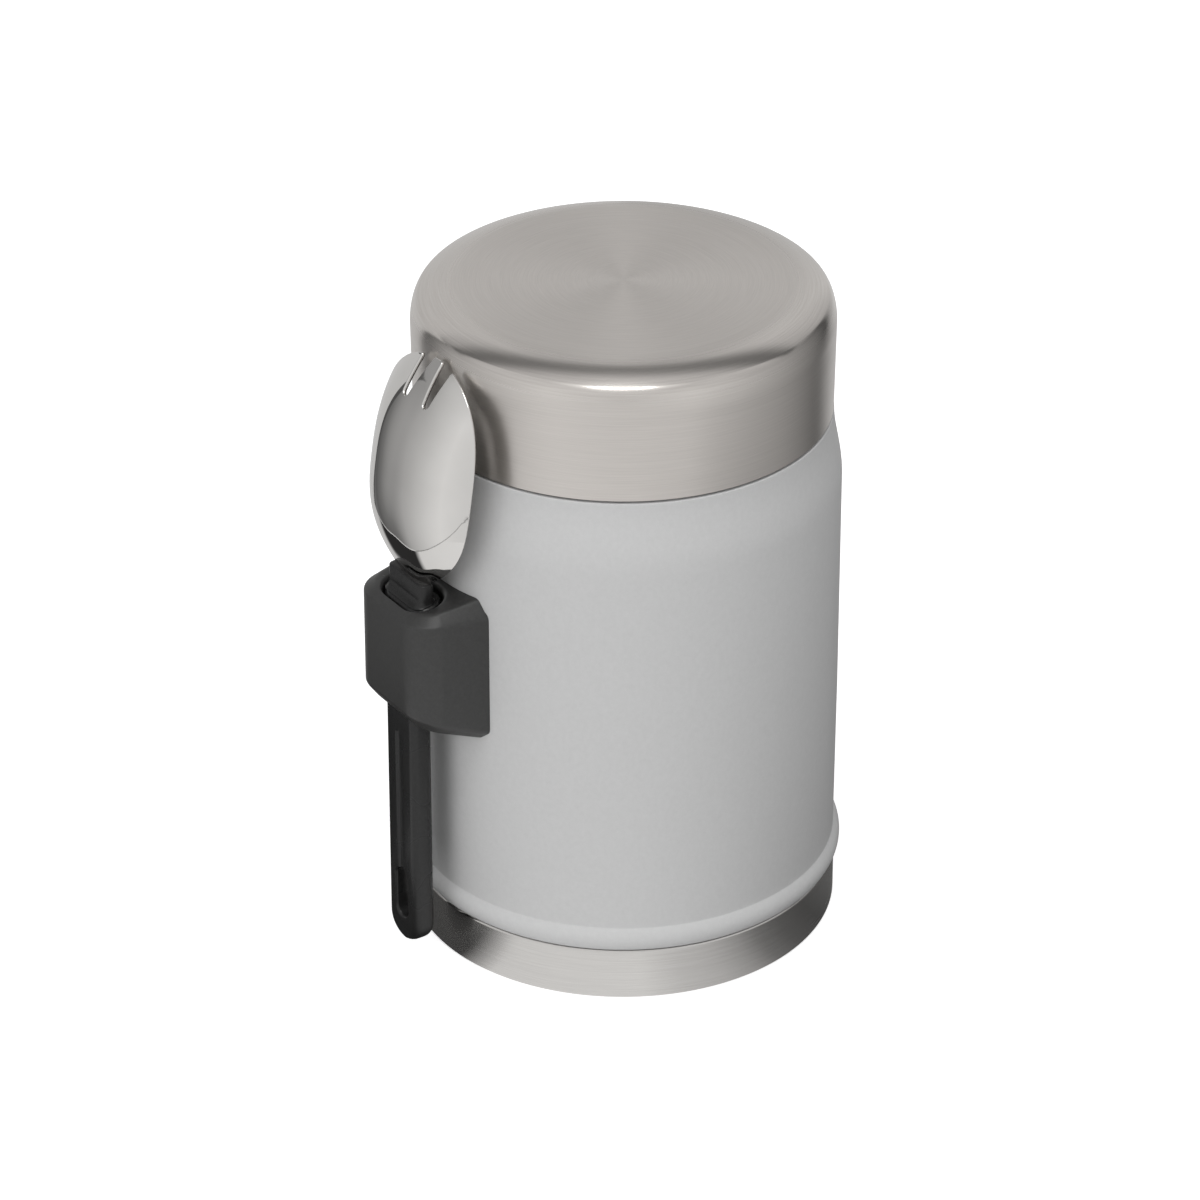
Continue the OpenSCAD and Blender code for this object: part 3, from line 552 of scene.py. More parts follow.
# %% Foot cup
FOOT_WALL, FLOOR_Z, PIT_R, PIT_H, VENT_R, SLEEVE_UP, BAND_EASE = 0.8, 0.95, 6.0, 1.6, 1.2, 4.5, 0.35
BAND_TOP = BAND_H - FIT
SLEEVE_R = WAIST_R - SHELL_WALL - FIT
EDGE_CENTRE = (BODY_R - BASE_EDGE, BASE_EDGE)
foot_outline = [(VENT_R, FLOOR_Z + PIT_H), (PIT_R, FLOOR_Z + PIT_H), (PIT_R, FLOOR_Z)]
foot_outline += [(PLATE_R, FLOOR_Z), (PLATE_R, 0)] + arc(EDGE_CENTRE, BASE_EDGE, -90, 0)
foot_outline += [(BODY_R, BAND_TOP - BAND_EASE), (BODY_R - BAND_EASE, BAND_TOP), (SLEEVE_R, BAND_TOP),
                 (SLEEVE_R, BAND_H + SLEEVE_UP), (SLEEVE_R - FOOT_WALL, BAND_H + SLEEVE_UP),
                 (SLEEVE_R - FOOT_WALL, BAND_TOP - FOOT_WALL), (BODY_R - FOOT_WALL, BAND_TOP - FOOT_WALL)]
foot_outline += arc(EDGE_CENTRE, BASE_EDGE - FOOT_WALL, 0, -90, 4)
foot_outline += [(PLATE_R + FOOT_WALL, FOOT_WALL), (PLATE_R + FOOT_WALL, FLOOR_Z + FOOT_WALL),
                 (PIT_R + FOOT_WALL, FLOOR_Z + FOOT_WALL), (PIT_R + FOOT_WALL, FLOOR_Z + PIT_H + FOOT_WALL),
                 (VENT_R, FLOOR_Z + PIT_H + FOOT_WALL)]
foot = shaded(object_from("steel_foot", spun(softened(foot_outline, 0.25))))
foot.data.materials.append(foot_steel)
dressed(foot, "jar", "brushed_band", "base_cup")

# %% Foot plate
PLATE_T, DISH, DISH_R, DISH_EDGE_R = 0.9, 0.12, 20, 24
plate_outline = [(0, DISH), (DISH_R, DISH), (DISH_EDGE_R, 0)]
plate_outline += [(PLATE_R - FIT, 0), (PLATE_R - FIT, PLATE_T), (0, PLATE_T)]
plate = shaded(object_from("foot_plate", spun(softened(plate_outline, 0.3))))
plate.data.materials.append(foot_steel)
dressed(plate, "jar", "brushed_band", "base_plate")

# %% [markdown]
# ## The vessel inside
# The inner vessel is deep-drawn steel with a rounded bottom. Its mouth is welded to the shell, and the weld is
# ground to a small round lip.

# %% Inner vessel
VESSEL_R, VESSEL_Z, VESSEL_ROUND, VESSEL_WALL, THROAT_LOW, THROAT_HIGH = 38.2, 9.15, 8.0, 0.6, 110.2, 114.0
LIP_ROUND = LIP_T / 2
centre = (VESSEL_R - VESSEL_ROUND, VESSEL_Z + VESSEL_ROUND)
vessel_outline = [(0, VESSEL_Z)] + arc(centre, VESSEL_ROUND, -90, 0, 16)
vessel_outline += [(VESSEL_R, THROAT_LOW), (THROAT_R, THROAT_HIGH), (THROAT_R, RIM_Z - LIP_T), (NECK_R, RIM_Z - LIP_T)]
vessel_outline += arc((NECK_R - LIP_ROUND, RIM_Z - LIP_ROUND), LIP_ROUND, 0, 90)
vessel_outline += [(MOUTH_R, RIM_Z), (MOUTH_R, THROAT_HIGH), (VESSEL_R - VESSEL_WALL, THROAT_LOW)]
vessel_outline += arc(centre, VESSEL_ROUND - VESSEL_WALL, 0, -90, 16) + [(0, VESSEL_Z + VESSEL_WALL)]
vessel = shaded(object_from("vessel", spun(softened(vessel_outline, 0.5))))
vessel.data.materials.append(vessel_steel)
dressed(vessel, "jar", "vessel_steel", "inner_vessel")

# %% [markdown]
# ## The lid
# The cap is drawn from sheet and pressed over a moulded liner. Its top edge is rolled softly, so the highlight
# runs along it as a bright line. The liner holds the thread, the seat of the silicone ring and the hollow plug.

# %% Steel cap
def cap_edge(inset, steps=22):
    """From the side to the flat top: the side turns in along an ellipse, then the crown flattens out."""
    lean = math.radians(LID_LEAN)
    last = math.atan(math.tan(lean) * LID_EDGE_H / LID_EDGE_IN)
    edge_r = LID_R + LID_FLARE - LID_EDGE_IN
    edge_z = LID_TOP - LID_CROWN * (1 - math.sin(lean)) - LID_EDGE_H * math.sin(last)
    rows = []
    for i in range(steps):
        turn = last * i / steps
        up = math.atan(math.tan(turn) * LID_EDGE_IN / LID_EDGE_H)
        rows.append((edge_r + LID_EDGE_IN * math.cos(turn) - inset * math.cos(up),
                     edge_z + LID_EDGE_H * math.sin(turn) - inset * math.sin(up)))
    crown_r = edge_r + LID_EDGE_IN * math.cos(last) - LID_CROWN * math.cos(lean)
    return rows + arc((crown_r, LID_TOP - LID_CROWN), LID_CROWN - inset, LID_LEAN, 90, 16)


cap_outline = [(LID_R - LID_WALL, LID_Z), (LID_R - LID_WALL / 3, LID_Z), (LID_R, LID_Z + LID_WALL / 3)] + cap_edge(0)
cap_outline += [(radius, LID_TOP) for radius in (24, 16, 8, 1, 0)] + [(0, LID_TOP - LID_WALL)]
cap_outline += cap_edge(LID_WALL)[::-1]
cap = shaded(object_from("steel_cap", spun(cap_outline, 240)))
cap.data.materials.append(cap_steel)
dressed(cap, "lid", "lid_steel", "lid_shell")

# %% Liner with its thread, and the silicone ring
LINER_T, GASKET_OUT = 1.4, 0.35
low = LID_Z + FIT
corner = (PLUG_R - LINER_T, PLUG_Z + LINER_T)
liner_outline = [(LINER_R, low), (LINER_R, ROOF_Z + LINER_T), (PLUG_R - LINER_T, ROOF_Z + LINER_T), corner]
liner_outline += [(0, PLUG_Z + LINER_T), (0, PLUG_Z)] + arc(corner, LINER_T, -90, 0)
liner_outline += [(PLUG_R, ROOF_Z), (LINER_IN, ROOF_Z), (LINER_IN, low + LINER_CHAMFER)]
liner_outline += [(LINER_IN + LINER_CHAMFER, low)]
skin = spun(softened(liner_outline, 0.4))
for turn in (0, 180):
    ridge(skin, LINER_IN, -1, FEMALE_Z, TURNS, FEMALE_START + turn)
liner = shaded(object_from("liner", skin))
liner.data.materials.append(liner_plastic)
dressed(liner, "lid", "liner_plastic", "lid_liner")
ring_outline = [(PLUG_R + FIT, GASKET_Z), (NECK_R + GASKET_OUT, GASKET_Z), (NECK_R + GASKET_OUT, ROOF_Z - FIT),
                (PLUG_R + FIT, ROOF_Z - FIT)]
ring = shaded(object_from("silicone_ring", spun(softened(ring_outline, 0.45, 6))))
ring.data.materials.append(silicone)
dressed(ring, "lid", "silicone", "lid_gasket")

# %% [markdown]
# ## The spork holder
# The holder is one thick moulding. Its top falls outwards, its bottom rises outwards, and bevels run round both.
# Rings that are moved in and sloped give the block, and cutters take out the slot, the passage for the grip and
# the curve of the jar. The cutter of the slot flares at the top, which rounds the slot's edge.

# %% Rings of the holder
def holder_ring(inset, level, slope):
    radius = HOLDER_CORNER - inset
    cx, cy = HOLDER_FRONT_HALF - HOLDER_CORNER, HOLDER_REACH - HOLDER_CORNER
    lean = math.degrees(math.atan((HOLDER_HALF - HOLDER_FRONT_HALF) / (cy - BACK_REACH)))
    half = [(HOLDER_HALF - inset, BACK_REACH - HOLDER_BEVEL)] + arc((cx, cy), radius, lean, 90, 16)
    whole = half + [(-x, y) for x, y in half[::-1]]
    return [(x, -y, level + slope * (y - BACK_REACH)) for x, y in whole]


END_INSET = HOLDER_BEVEL + 3
path = [(END_INSET, HOLDER_Z - HOLDER_BEVEL, BOTTOM_SLOPE), (HOLDER_BEVEL, HOLDER_Z - HOLDER_BEVEL, BOTTOM_SLOPE),
        (0, HOLDER_Z, BOTTOM_SLOPE), (0, HOLDER_TOP, 0.0),
        (HOLDER_BEVEL, HOLDER_TOP + HOLDER_CROWN, -TOP_SLOPE), (END_INSET, HOLDER_TOP + HOLDER_CROWN, -TOP_SLOPE)]


def eased(path, reach, steps=5):
    """Rounds the inner corners of a path of rings."""
    rows = [path[0]]
    for before, corner, after in zip(path, path[1:], path[2:]):
        before, corner, after = Vector(before), Vector(corner), Vector(after)
        first = corner + (before - corner).normalized() * min(reach, 0.45 * (before - corner).length)
        last = corner + (after - corner).normalized() * min(reach, 0.45 * (after - corner).length)
        rows += bent(first, corner, last, steps)
    return rows + [path[-1]]


block = object_from("spork_holder", stacked([holder_ring(*row) for row in eased(path, 0.8)]))
print("faces of the plain block:", len(block.data.polygons))


# %% Cutters of the holder
SLOT_EDGE, GRIP_CORNER = 0.9, 1.6


def section(level, half_w, half_t, reach, radius, shear=0.0):
    """A level ring with round corners. Shear lowers its outer side."""
    return [(x, y - reach, level + shear * y) for x, y in rounded_rectangle(half_w, half_t, radius)]


def slot_section(level, grow, shear=0.0):
    return section(level, BLOCK_W / 2 + RUN_GAP + grow, BLOCK_T / 2 + RUN_GAP + grow, HANDLE_REACH, BLOCK_T, shear)


def grip_section(level, grow):
    return section(level, GRIP_W / 2 + RUN_GAP + grow, GRIP_T / 2 + RUN_GAP + grow, GRIP_REACH, GRIP_CORNER + grow)


# each cutter starts or ends outside the block, so that no thin skin is left
flare = [slot_section(CHAMBER_Z, 0)]
flare += [slot_section(RIM_AT_HANDLE - SLOT_EDGE * short, SLOT_EDGE * out, TOP_SLOPE) for out, short in quarter(6)]
flare.append(slot_section(RIM_AT_HANDLE + 3, SLOT_EDGE, TOP_SLOPE))
slot_cutter = object_from("slot_cutter", stacked(flare))
passage = [grip_section(HOLDER_Z - 8, 0.6), grip_section(HOLDER_Z + 1, 0.0), grip_section(CHAMBER_Z + 0.5, 0.0)]
grip_cutter = object_from("grip_cutter", stacked(passage))
circle = arc((0, 0), BODY_R + FIT, 0, 360, 240)[:-1]
jar_cutter = object_from("jar_cutter", stacked([[(x, y, z) for x, y in circle] for z in (30, 110)]))
carved(block, [slot_cutter, grip_cutter, jar_cutter])
shaded(block, 28)
block.data.materials.append(black_plastic)
dressed(block, "jar", "black_plastic", "holder")

# %% [markdown]
# ## The spork's handle
# The handle is one moulding: a wide block that fills the holder's slot, a thin collar that grips the steel neck,
# and a flat grip with a groove and a hang slot. A stack of sections from the round lower end to the collar gives
# the skin, and every step between two sections is eased, as a mould would make it.

# %% Sections of the handle
END_R, END_THIN, STEP_EDGE, BLOCK_EDGE, COLLAR_EDGE, COLLAR_CORNER = GRIP_W / 2, 0.9, 0.6, 1.3, 0.5, 1.2
rows = []
for k, (out, short) in enumerate(quarter(14)[1:], 1):
    thin = END_THIN * (1 - math.sin(math.radians(min(90, 8 * k))))
    half = END_R * (1 - short)
    rows.append((GRIP_END_Z + END_R * out, half, GRIP_T / 2 - thin, GRIP_REACH, min(GRIP_CORNER, half)))
step_z = CHAMBER_Z + FIT
rows += [(level, END_R, GRIP_T / 2, GRIP_REACH, GRIP_CORNER) for level in (30.0, 60.0, step_z - 0.1)]
rows += [(step_z + STEP_EDGE * out, BLOCK_W / 2 - STEP_EDGE * short, BLOCK_T / 2 - STEP_EDGE * short, HANDLE_REACH,
          BLOCK_T / 2) for out, short in quarter(5)]
block_top = RIM_AT_HANDLE - RUN_GAP
rows.append((block_top - 4, BLOCK_W / 2, BLOCK_T / 2, HANDLE_REACH, BLOCK_T / 2))
for out, short in quarter(8):
    level, half_t = block_top - BLOCK_EDGE * short, BLOCK_T / 2 - BLOCK_EDGE * out
    rows.append((level, BLOCK_W / 2 - BLOCK_EDGE * out, half_t, HANDLE_REACH, half_t, TOP_SLOPE))
# the collar's foot spreads out onto the block
COLLAR_REACH = HANDLE_REACH + 0.3
rows += [(block_top + 0.02 + BLOCK_EDGE * out, COLLAR_W / 2 + 0.25 * ease, COLLAR_T / 2 + 1.0 * ease,
          COLLAR_REACH + 0.35 * ease, COLLAR_CORNER + 1.0 * ease, TOP_SLOPE * ease) for out, ease in quarter(8)]
rows += [(COLLAR_TOP - COLLAR_EDGE * short, COLLAR_W / 2 - COLLAR_EDGE * out, COLLAR_T / 2 - COLLAR_EDGE * out,
          COLLAR_REACH, COLLAR_CORNER) for out, short in quarter(6)]
handle = object_from("spork_grip", stacked([section(*row) for row in rows]))
print("sections of the handle:", len(rows))


# %% Hang slot and groove
def slot_rows(half_w, half_l, level, reaches_and_grows):
    rings = []
    for reach, grow in reaches_and_grows:
        radius = half_w + grow
        rings.append([(x, -reach, level + z) for x, z in rounded_rectangle(radius, half_l + grow, radius, 10)])
    return rings


HANG_Z = GRIP_END_Z + HANG_UP + HANG_LEN / 2
outer_face, inner_face = GRIP_REACH + GRIP_T / 2, GRIP_REACH - GRIP_T / 2
HANG_EDGE, GROOVE_HALF, GROOVE_LEN = 0.6, 1.0, HANG_LEN / 2 + 33
rounding = [(HANG_EDGE * out, HANG_EDGE * (1 - short)) for out, short in quarter(6)]
through = [(inner_face - 1, HANG_EDGE)] + [(inner_face + HANG_EDGE - out, grow) for grow, out in rounding[::-1]]
through += [(outer_face - HANG_EDGE + out, grow) for grow, out in rounding] + [(outer_face + 1, HANG_EDGE)]
hang_half_w, hang_half_l = HANG_W / 2 - HANG_EDGE / 2, HANG_LEN / 2 - HANG_EDGE / 2
hang_cutter = object_from("hang_cutter", stacked(slot_rows(hang_half_w, hang_half_l, HANG_Z, through)))
groove = [(outer_face - 0.5, 0), (outer_face - 0.42, 0.15), (outer_face - 0.1, 0.3), (outer_face + 0.05, 0.5),
          (outer_face + 1, 0.5)]
groove_rows = slot_rows(GROOVE_HALF, GROOVE_LEN / 2, HANG_Z + GROOVE_LEN / 2, groove)
groove_cutter = object_from("groove_cutter", stacked(groove_rows))
carved(handle, [hang_cutter, groove_cutter])
shaded(handle, 32)
handle.data.materials.append(grip_plastic)
dressed(handle, "spork", "black_plastic", "spork_handle")

# %% [markdown]
# ## The spork's head
# The head is pressed from one sheet and polished like a mirror, and a mirror shows every facet. So its face is a
# formula, its outline with the tine slots is filled with a fine even net, and each point gets the formula's own
# normal. A second face lies one sheet thickness behind, and a narrow rounded rim joins the two.

# %% The formula of the bowl
WIDE_Z = COLLAR_TOP + WIDE_UP
TIP_RUN = (HEAD_LEN - WIDE_UP) * 1.004
NECK_POWER, TIP_POWER = 3.1, 3.25
NECK_FALL, NECK_FALL_POWER, TIP_FALL, TIP_FALL_POWER, ACROSS_POWER = 0.86, 2.2, 1.06, 2.5, 2.9


def head_half(z):
    """Half the head's width at a height."""
    if z < WIDE_Z:
        below = min(1.0, (WIDE_Z - z) / WIDE_UP)
        return NECK_HALF + (BOWL_HALF - NECK_HALF) * (1 - below ** NECK_POWER)
    return BOWL_HALF * math.sqrt(max(0.0, 1 - min(1.0, (z - WIDE_Z) / TIP_RUN) ** TIP_POWER))


def head_reach(x, z):
    """How far the convex face stands from the jar's axis plane."""
    rim = NECK_REACH - RIM_LEAN * max(0.0, z - COLLAR_TOP)
    if z < WIDE_Z:
        fall = NECK_FALL * min(1.0, (WIDE_Z - z) / WIDE_UP) ** NECK_FALL_POWER
    else:
        fall = TIP_FALL * ((z - WIDE_Z) / (HEAD_LEN - WIDE_UP)) ** TIP_FALL_POWER
    across = min(1.0, abs(x) / max(head_half(z), 0.5))
    return rim + BOWL_DEPTH * (1 - fall) * (1 - across ** ACROSS_POWER)


print("the bowl is widest at", round(WIDE_Z, 1), "mm, where it stands out to", round(head_reach(0, WIDE_Z), 1), "mm")


def head_normal(x, z):
    step = 0.05
    z = min(z, TIP_Z - 0.6)
    inward = 0.97 * head_half(z)
    x = max(-inward, min(inward, x))
    dx = (head_reach(x + step, z) - head_reach(x - step, z)) / (2 * step)
    dz = (head_reach(x, z + step) - head_reach(x, z - step)) / (2 * step)
    return Vector((-dx, -1, -dz)).normalized()


# %% The outline with its two slots
RIM_BULGE = 0.22


def slot_side(sign):
    """Points from the outer tine's side round the end of one slot to the middle tine's corner."""
    end_z = TIP_Z - SLOT_DEPTH + SLOT_R
    points = [(sign * x, z) for x, z in arc((SLOT_OFF, end_z), SLOT_R + RIM_BULGE, 0, -180, 16)]
    return points + [(sign * TINE_HALF, TIP_Z - 0.25)]


def head_outline(rows=150):
    low = COLLAR_TOP - 0.7
    levels = [low + (TIP_Z - 0.02 - low) * math.sin(math.pi / 2 * i / rows) for i in range(rows + 1)]
    right = [(head_half(z), z) for z in levels]
    tine = next(i for i, (x, z) in enumerate(right) if z > WIDE_Z and x < TINE_OFF + 0.25)
    point_z = WIDE_Z + TIP_RUN * (1 - (TINE_OFF / BOWL_HALF) ** 2) ** (1 / TIP_POWER)
    point = [(TINE_OFF + 0.1, point_z - 0.05), (TINE_OFF - 0.05, point_z - 0.25)]
    half = right[:tine] + point + slot_side(1) + [(TINE_HALF - 0.2, TIP_Z - 0.05)]
    return half + [(-x, z) for x, z in half[::-1]]


def even(points, step):
    """Adds points along a closed outline so that no two are further apart than a step."""
    rows = []
    for here, there in zip(points, points[1:] + points[:1]):
        here, there = Vector(here), Vector(there)
        count = max(1, math.ceil((there - here).length / step))
        rows += [here.lerp(there, k / count) for k in range(count)]
    return rows


edge = even(head_outline(), 0.4)
count = len(edge)
print("head outline points:", count)


# %% An even net inside the outline
def inside_outline(point, outline):
    x, z = point
    hit = False
    for a, b in zip(outline, outline[1:] + outline[:1]):
        if (a.y > z) != (b.y > z) and x < a.x + (z - a.y) * (b.x - a.x) / (b.y - a.y):
            hit = not hit
    return hit


def near_outline(point, outline, least):
    return any((point - p).length_squared < least * least for p in outline)


SPACING, LEAST_GAP = 0.6, 0.38
net = []
for row in range(int(HEAD_LEN / SPACING) + 2):
    z = COLLAR_TOP - 0.6 + row * SPACING
    for column in range(-30, 31):
        point = Vector((column * SPACING + (row % 2) * SPACING / 2, z))
        if abs(point.x) < BOWL_HALF and inside_outline(point, edge) and not near_outline(point, edge, LEAST_GAP):
            net.append(point)
loops = [(i, (i + 1) % count) for i in range(count)]
flat, _, faces, _, _, _ = delaunay_2d_cdt(edge + net, loops, [], 1, 1e-6)
print("net points:", len(flat), "faces:", len(faces))

# %% Two faces and a rounded rim
RIM_ROWS = 6
skin = bmesh.new()
normals = []


def new_point(place, normal):
    normals.append(normal)
    return skin.verts.new(place * MM)


def head_point(p):
    return Vector((p.x, -head_reach(p.x, p.y), p.y))


sheet = [[new_point(head_point(p), head_normal(p.x, p.y)) for p in flat],
         [new_point(head_point(p) - head_normal(p.x, p.y) * HEAD_T, -head_normal(p.x, p.y)) for p in flat]]
for face in faces:
    skin.faces.new([sheet[0][i] for i in face])
    skin.faces.new([sheet[1][i] for i in reversed(face)])
rim = []
for k in range(RIM_ROWS + 1):
    a = math.pi * k / RIM_ROWS
    row = []
    for i, p in enumerate(edge):
        normal = head_normal(p.x, p.y)
        along = head_point(edge[(i + 1) % count]) - head_point(edge[i - 1])
        outward = along.cross(normal).normalized()
        place = head_point(p) - normal * HEAD_T * (1 - math.cos(a)) / 2 + outward * RIM_BULGE * math.sin(a)
        row.append(new_point(place, (normal * math.cos(a) + outward * math.sin(a)).normalized()))
    rim.append(row)
for near, far in zip(rim, rim[1:]):
    for i in range(count):
        j = (i + 1) % count
        skin.faces.new([near[i], near[j], far[j], far[i]])
skin.verts.index_update()
skin.normal_update()
for face in skin.faces:
    if face.normal.dot(sum((normals[v.index] for v in face.verts), Vector())) < 0:
        face.normal_flip()
head = object_from("spork_steel", skin)
for face in head.data.polygons:
    face.use_smooth = True
head.data.normals_split_custom_set_from_vertices(normals)
head.data.materials.append(polished)
dressed(head, "spork", "polished_steel", "spork_head")

# %% [markdown]
# ## Pieces that keep their solids
# The foam, the foil, the getter, the seal, the bracket and the screws are hidden in the closed jar. Their solids
# already have the right shapes, so they only get their finishes.

# %% Finishes on the hidden solids
hidden = {"lid_insulation": foam, "heat_foil": foil, "getter": getter_metal, "getter_clip": vessel_steel,
          "vacuum_seal": seal_glass, "holder_bracket": vessel_steel, "holder_screws": screw_steel}
for name, material in hidden.items():
    nodes[name].data.materials.clear()
    nodes[name].data.materials.append(material)
print("solids that keep their shape:", len(hidden))

# %% [markdown]
# ## The room
# The photograph is a studio picture on white. The polished spork shows the room: a pale panel behind on the left,
# a dark gap beside it, then a screen that grows brighter towards the camera, and a white table with a thin edge.
# The right side of the room is dark. High up are an even ceiling, a dark strip and the glow round the softbox.
# So a node group turns each direction into a compass bearing, and one ramp round the compass holds the tones of
# the room and another one those of the table, with painted shadow beside the jar's foot.

# %% The compass of the studio
compass, compass_in, compass_out = new_group("compass", {"Direction": (0.0, -1.0, 0.0)}, ["Turn", "Rise"])
UP = Vector((0, 0, 1))


def along_direction(tree, vector, direction):
    return maths(tree, "DOT_PRODUCT", vector, direction, kind="ShaderNodeVectorMath")


given = compass_in.outputs["Direction"]
turn = maths(compass, "ARCTAN2", along_direction(compass, given, RIGHT), along_direction(compass, given, TOWARDS_EYE))
turn = maths(compass, "ADD", maths(compass, "DIVIDE", turn, 2 * math.pi), 0.5)
rise = maths(compass, "MULTIPLY", maths(compass, "ARCSINE", along_direction(compass, given, UP)), 180 / math.pi)
compass.links.new(turn, compass_out.inputs["Turn"])
compass.links.new(rise, compass_out.inputs["Rise"])
print("compass nodes:", len(compass.nodes))


# %% Tones round the compass
def tone_ramp(tree, value, stops):
    """A grey ramp round the compass. Stops are (degrees to the right of the camera, grey)."""
    node = added(tree, "ShaderNodeValToRGB", {"Fac": value})
    ramp = node.color_ramp
    while len(ramp.elements) < len(stops):
        ramp.elements.new(0.5)
    for element, (degrees, grey) in zip(ramp.elements, stops):
        element.position = (degrees + 180) / 360
        element.color = (grey, grey, grey, 1)
    return node.outputs["Color"]


ROOM = [(-180, 0.52), (-128, 0.13), (-118, 0.21), (-110, 0.34), (-100, 0.48), (-80, 0.62), (-52, 0.80), (-38, 0.88),
        (0, 0.74), (36, 0.83), (60, 0.68), (95, 0.42), (118, 0.22), (133, 0.07), (141, 0.44), (158, 0.70), (180, 0.52)]
# the table as mirrors see it, with painted shadow: dark on the left where the handle shades it, and on the right of
# the foot where the jar's own shadow falls
TABLE_WITH_PAINTED_SHADOW = [(-180, 0.62), (-120, 0.62), (-115, 0.03), (-82, 0.03), (-74, 0.80), (-50, 0.84), (-20, 0.90), (6, 0.90),
         (18, 0.70), (30, 0.58), (40, 0.40), (48, 0.20), (58, 0.11), (72, 0.07), (90, 0.12), (130, 0.10), (180, 0.62)]
print("tones of the room:", len(ROOM), "of the table:", len(TABLE_WITH_PAINTED_SHADOW))

# %% [markdown]
# ## The floor
# The camera sees white paper: a pale floor that keeps the jar's shadow, with a little glow of its own. Mirrors see
# a glowing table whose tones hold painted light and painted shadow, then its thin edge, and through the floor the
# room beyond. Light Path tells these rays apart, so the white costs no extra light on the jar.

# %% Floor
FLOOR_R, PAPER_TONE, PAPER_GLOW = 6.0, 0.8, 0.64
floor_mesh = bmesh.new()
bmesh.ops.create_circle(floor_mesh, cap_ends=True, segments=96, radius=FLOOR_R)
floor = object_from("floor", floor_mesh)
floor_material = bpy.data.materials.new("white floor")
floor_material.use_nodes = True
floor.data.materials.append(floor_material)
tree = floor_material.node_tree
tree.nodes.clear()
place = tree.nodes.new("ShaderNodeTexCoord").outputs["Object"]
turn = placed(tree, compass, Direction=place)["Turn"]
rays = tree.nodes.new("ShaderNodeLightPath").outputs
print("floor:", 2 * FLOOR_R, "m across")

# %% The table in mirrors: its tones with painted shadow, its edge and what lies beyond
TABLE_OUT, TABLE_REACH, TABLE_R, EDGE_HALF = Vector((-0.43, -0.90, 0)), 0.146, 0.20, 0.0012
SHADE_R, SHADE_TONE = 0.085, 0.06
outwards = along_direction(tree, place, TABLE_OUT)
from_jar = maths(tree, "LENGTH", place, kind="ShaderNodeVectorMath")
beyond = maths(tree, "MAXIMUM", maths(tree, "GREATER_THAN", outwards, TABLE_REACH),
               maths(tree, "GREATER_THAN", from_jar, TABLE_R))
from_line = maths(tree, "ABSOLUTE", maths(tree, "SUBTRACT", outwards, TABLE_REACH))
on_line = maths(tree, "LESS_THAN", from_line, EDGE_HALF)
# the spork's handle shades the table beside the foot
shade = maths(tree, "MULTIPLY", ranged(tree, turn, 130 / 360, 142 / 360, 1, 0),
              maths(tree, "LESS_THAN", from_jar, SHADE_R))
# the table's tones carry painted shadow, and the handle's painted shadow is laid over them
table_tone_with_painted_shadow = mixed(tree, shade, tone_ramp(tree, turn, TABLE_WITH_PAINTED_SHADOW), SHADE_TONE)
far_tone = mixed(tree, beyond, table_tone_with_painted_shadow, tone_ramp(tree, turn, ROOM))
# the edge line's tone is painted light and shade: bright where the table holds painted shadow, dark where it is lit
edge_line_painted_tone = ranged(tree, table_tone_with_painted_shadow, 0.05, 0.5, 0.80, 0.25)
print("the table ends", TABLE_REACH, "m in front of the axis")


# %% What each ray sees of the floor
def mixed_shader(factor, first, second):
    return added(tree, "ShaderNodeMixShader", {0: factor, 1: first.outputs[0], 2: second.outputs[0]})


# rays other than the camera's see the paper in these tones, painted shadow included
paper = added(tree, "ShaderNodeBsdfDiffuse", {"Color": mixed(tree, rays["Is Camera Ray"], far_tone, PAPER_TONE)})
white = added(tree, "ShaderNodeEmission", {"Strength": maths(tree, "MULTIPLY", rays["Is Camera Ray"], PAPER_GLOW)})
seen = added(tree, "ShaderNodeAddShader", {0: paper.outputs[0], 1: white.outputs[0]})
# a mirror sees through the floor to the room where the table has ended
# the table glows in mirrors with painted light and painted shadow instead of being lit by the lamps
table = added(tree, "ShaderNodeEmission", {"Color": table_tone_with_painted_shadow})
in_mirror = mixed_shader(beyond, table, tree.nodes.new("ShaderNodeBsdfTransparent"))
in_mirror = mixed_shader(on_line, in_mirror, added(tree, "ShaderNodeEmission", {"Color": edge_line_painted_tone}))
mirrored = maths(tree, "MAXIMUM", rays["Is Glossy Ray"], rays["Is Transmission Ray"])
both = mixed_shader(mirrored, seen, in_mirror)
added(tree, "ShaderNodeOutputMaterial", {"Surface": both.outputs[0]})
print("floor nodes:", len(tree.nodes))

# %% [markdown]
# ## The sky
# The world holds the rest of the room. The camera sees it plain white. Every other ray sees the ramp of tones, the
# pale panel with its gap, and higher up the ceiling. The masks follow the compass, not the camera, so they stay
# in place when the view moves.

# %% Sky
def lamp_direction(turn, height):
    """Turn is in degrees to the right of the camera, height in degrees over the table."""
    level = Matrix.Rotation(math.radians(turn), 3, "Z") @ TOWARDS_EYE
    return level * math.cos(math.radians(height)) + UP * math.sin(math.radians(height))


SOFTBOX = (-2, 67)
PANEL_END, PANEL_TONE, GAP_END, GAP_TONE, PANEL_TOP = 56.5, 0.64, 60.0, 0.10, 60.0
BEND_RISE, LEAN, LEAN_BACK = 20.0, 0.55, 1.5
CEILING_TONE, STRIP_TONE, GLOW_TONE = 0.70, 0.14, 1.2
world = bpy.data.worlds.new("studio")
bpy.context.scene.world = world
world.use_nodes = True
tree = world.node_tree
tree.nodes.clear()
direction = tree.nodes.new("ShaderNodeTexCoord").outputs["Generated"]
heading = placed(tree, compass, Direction=direction)
turn, rise = heading["Turn"], heading["Rise"]
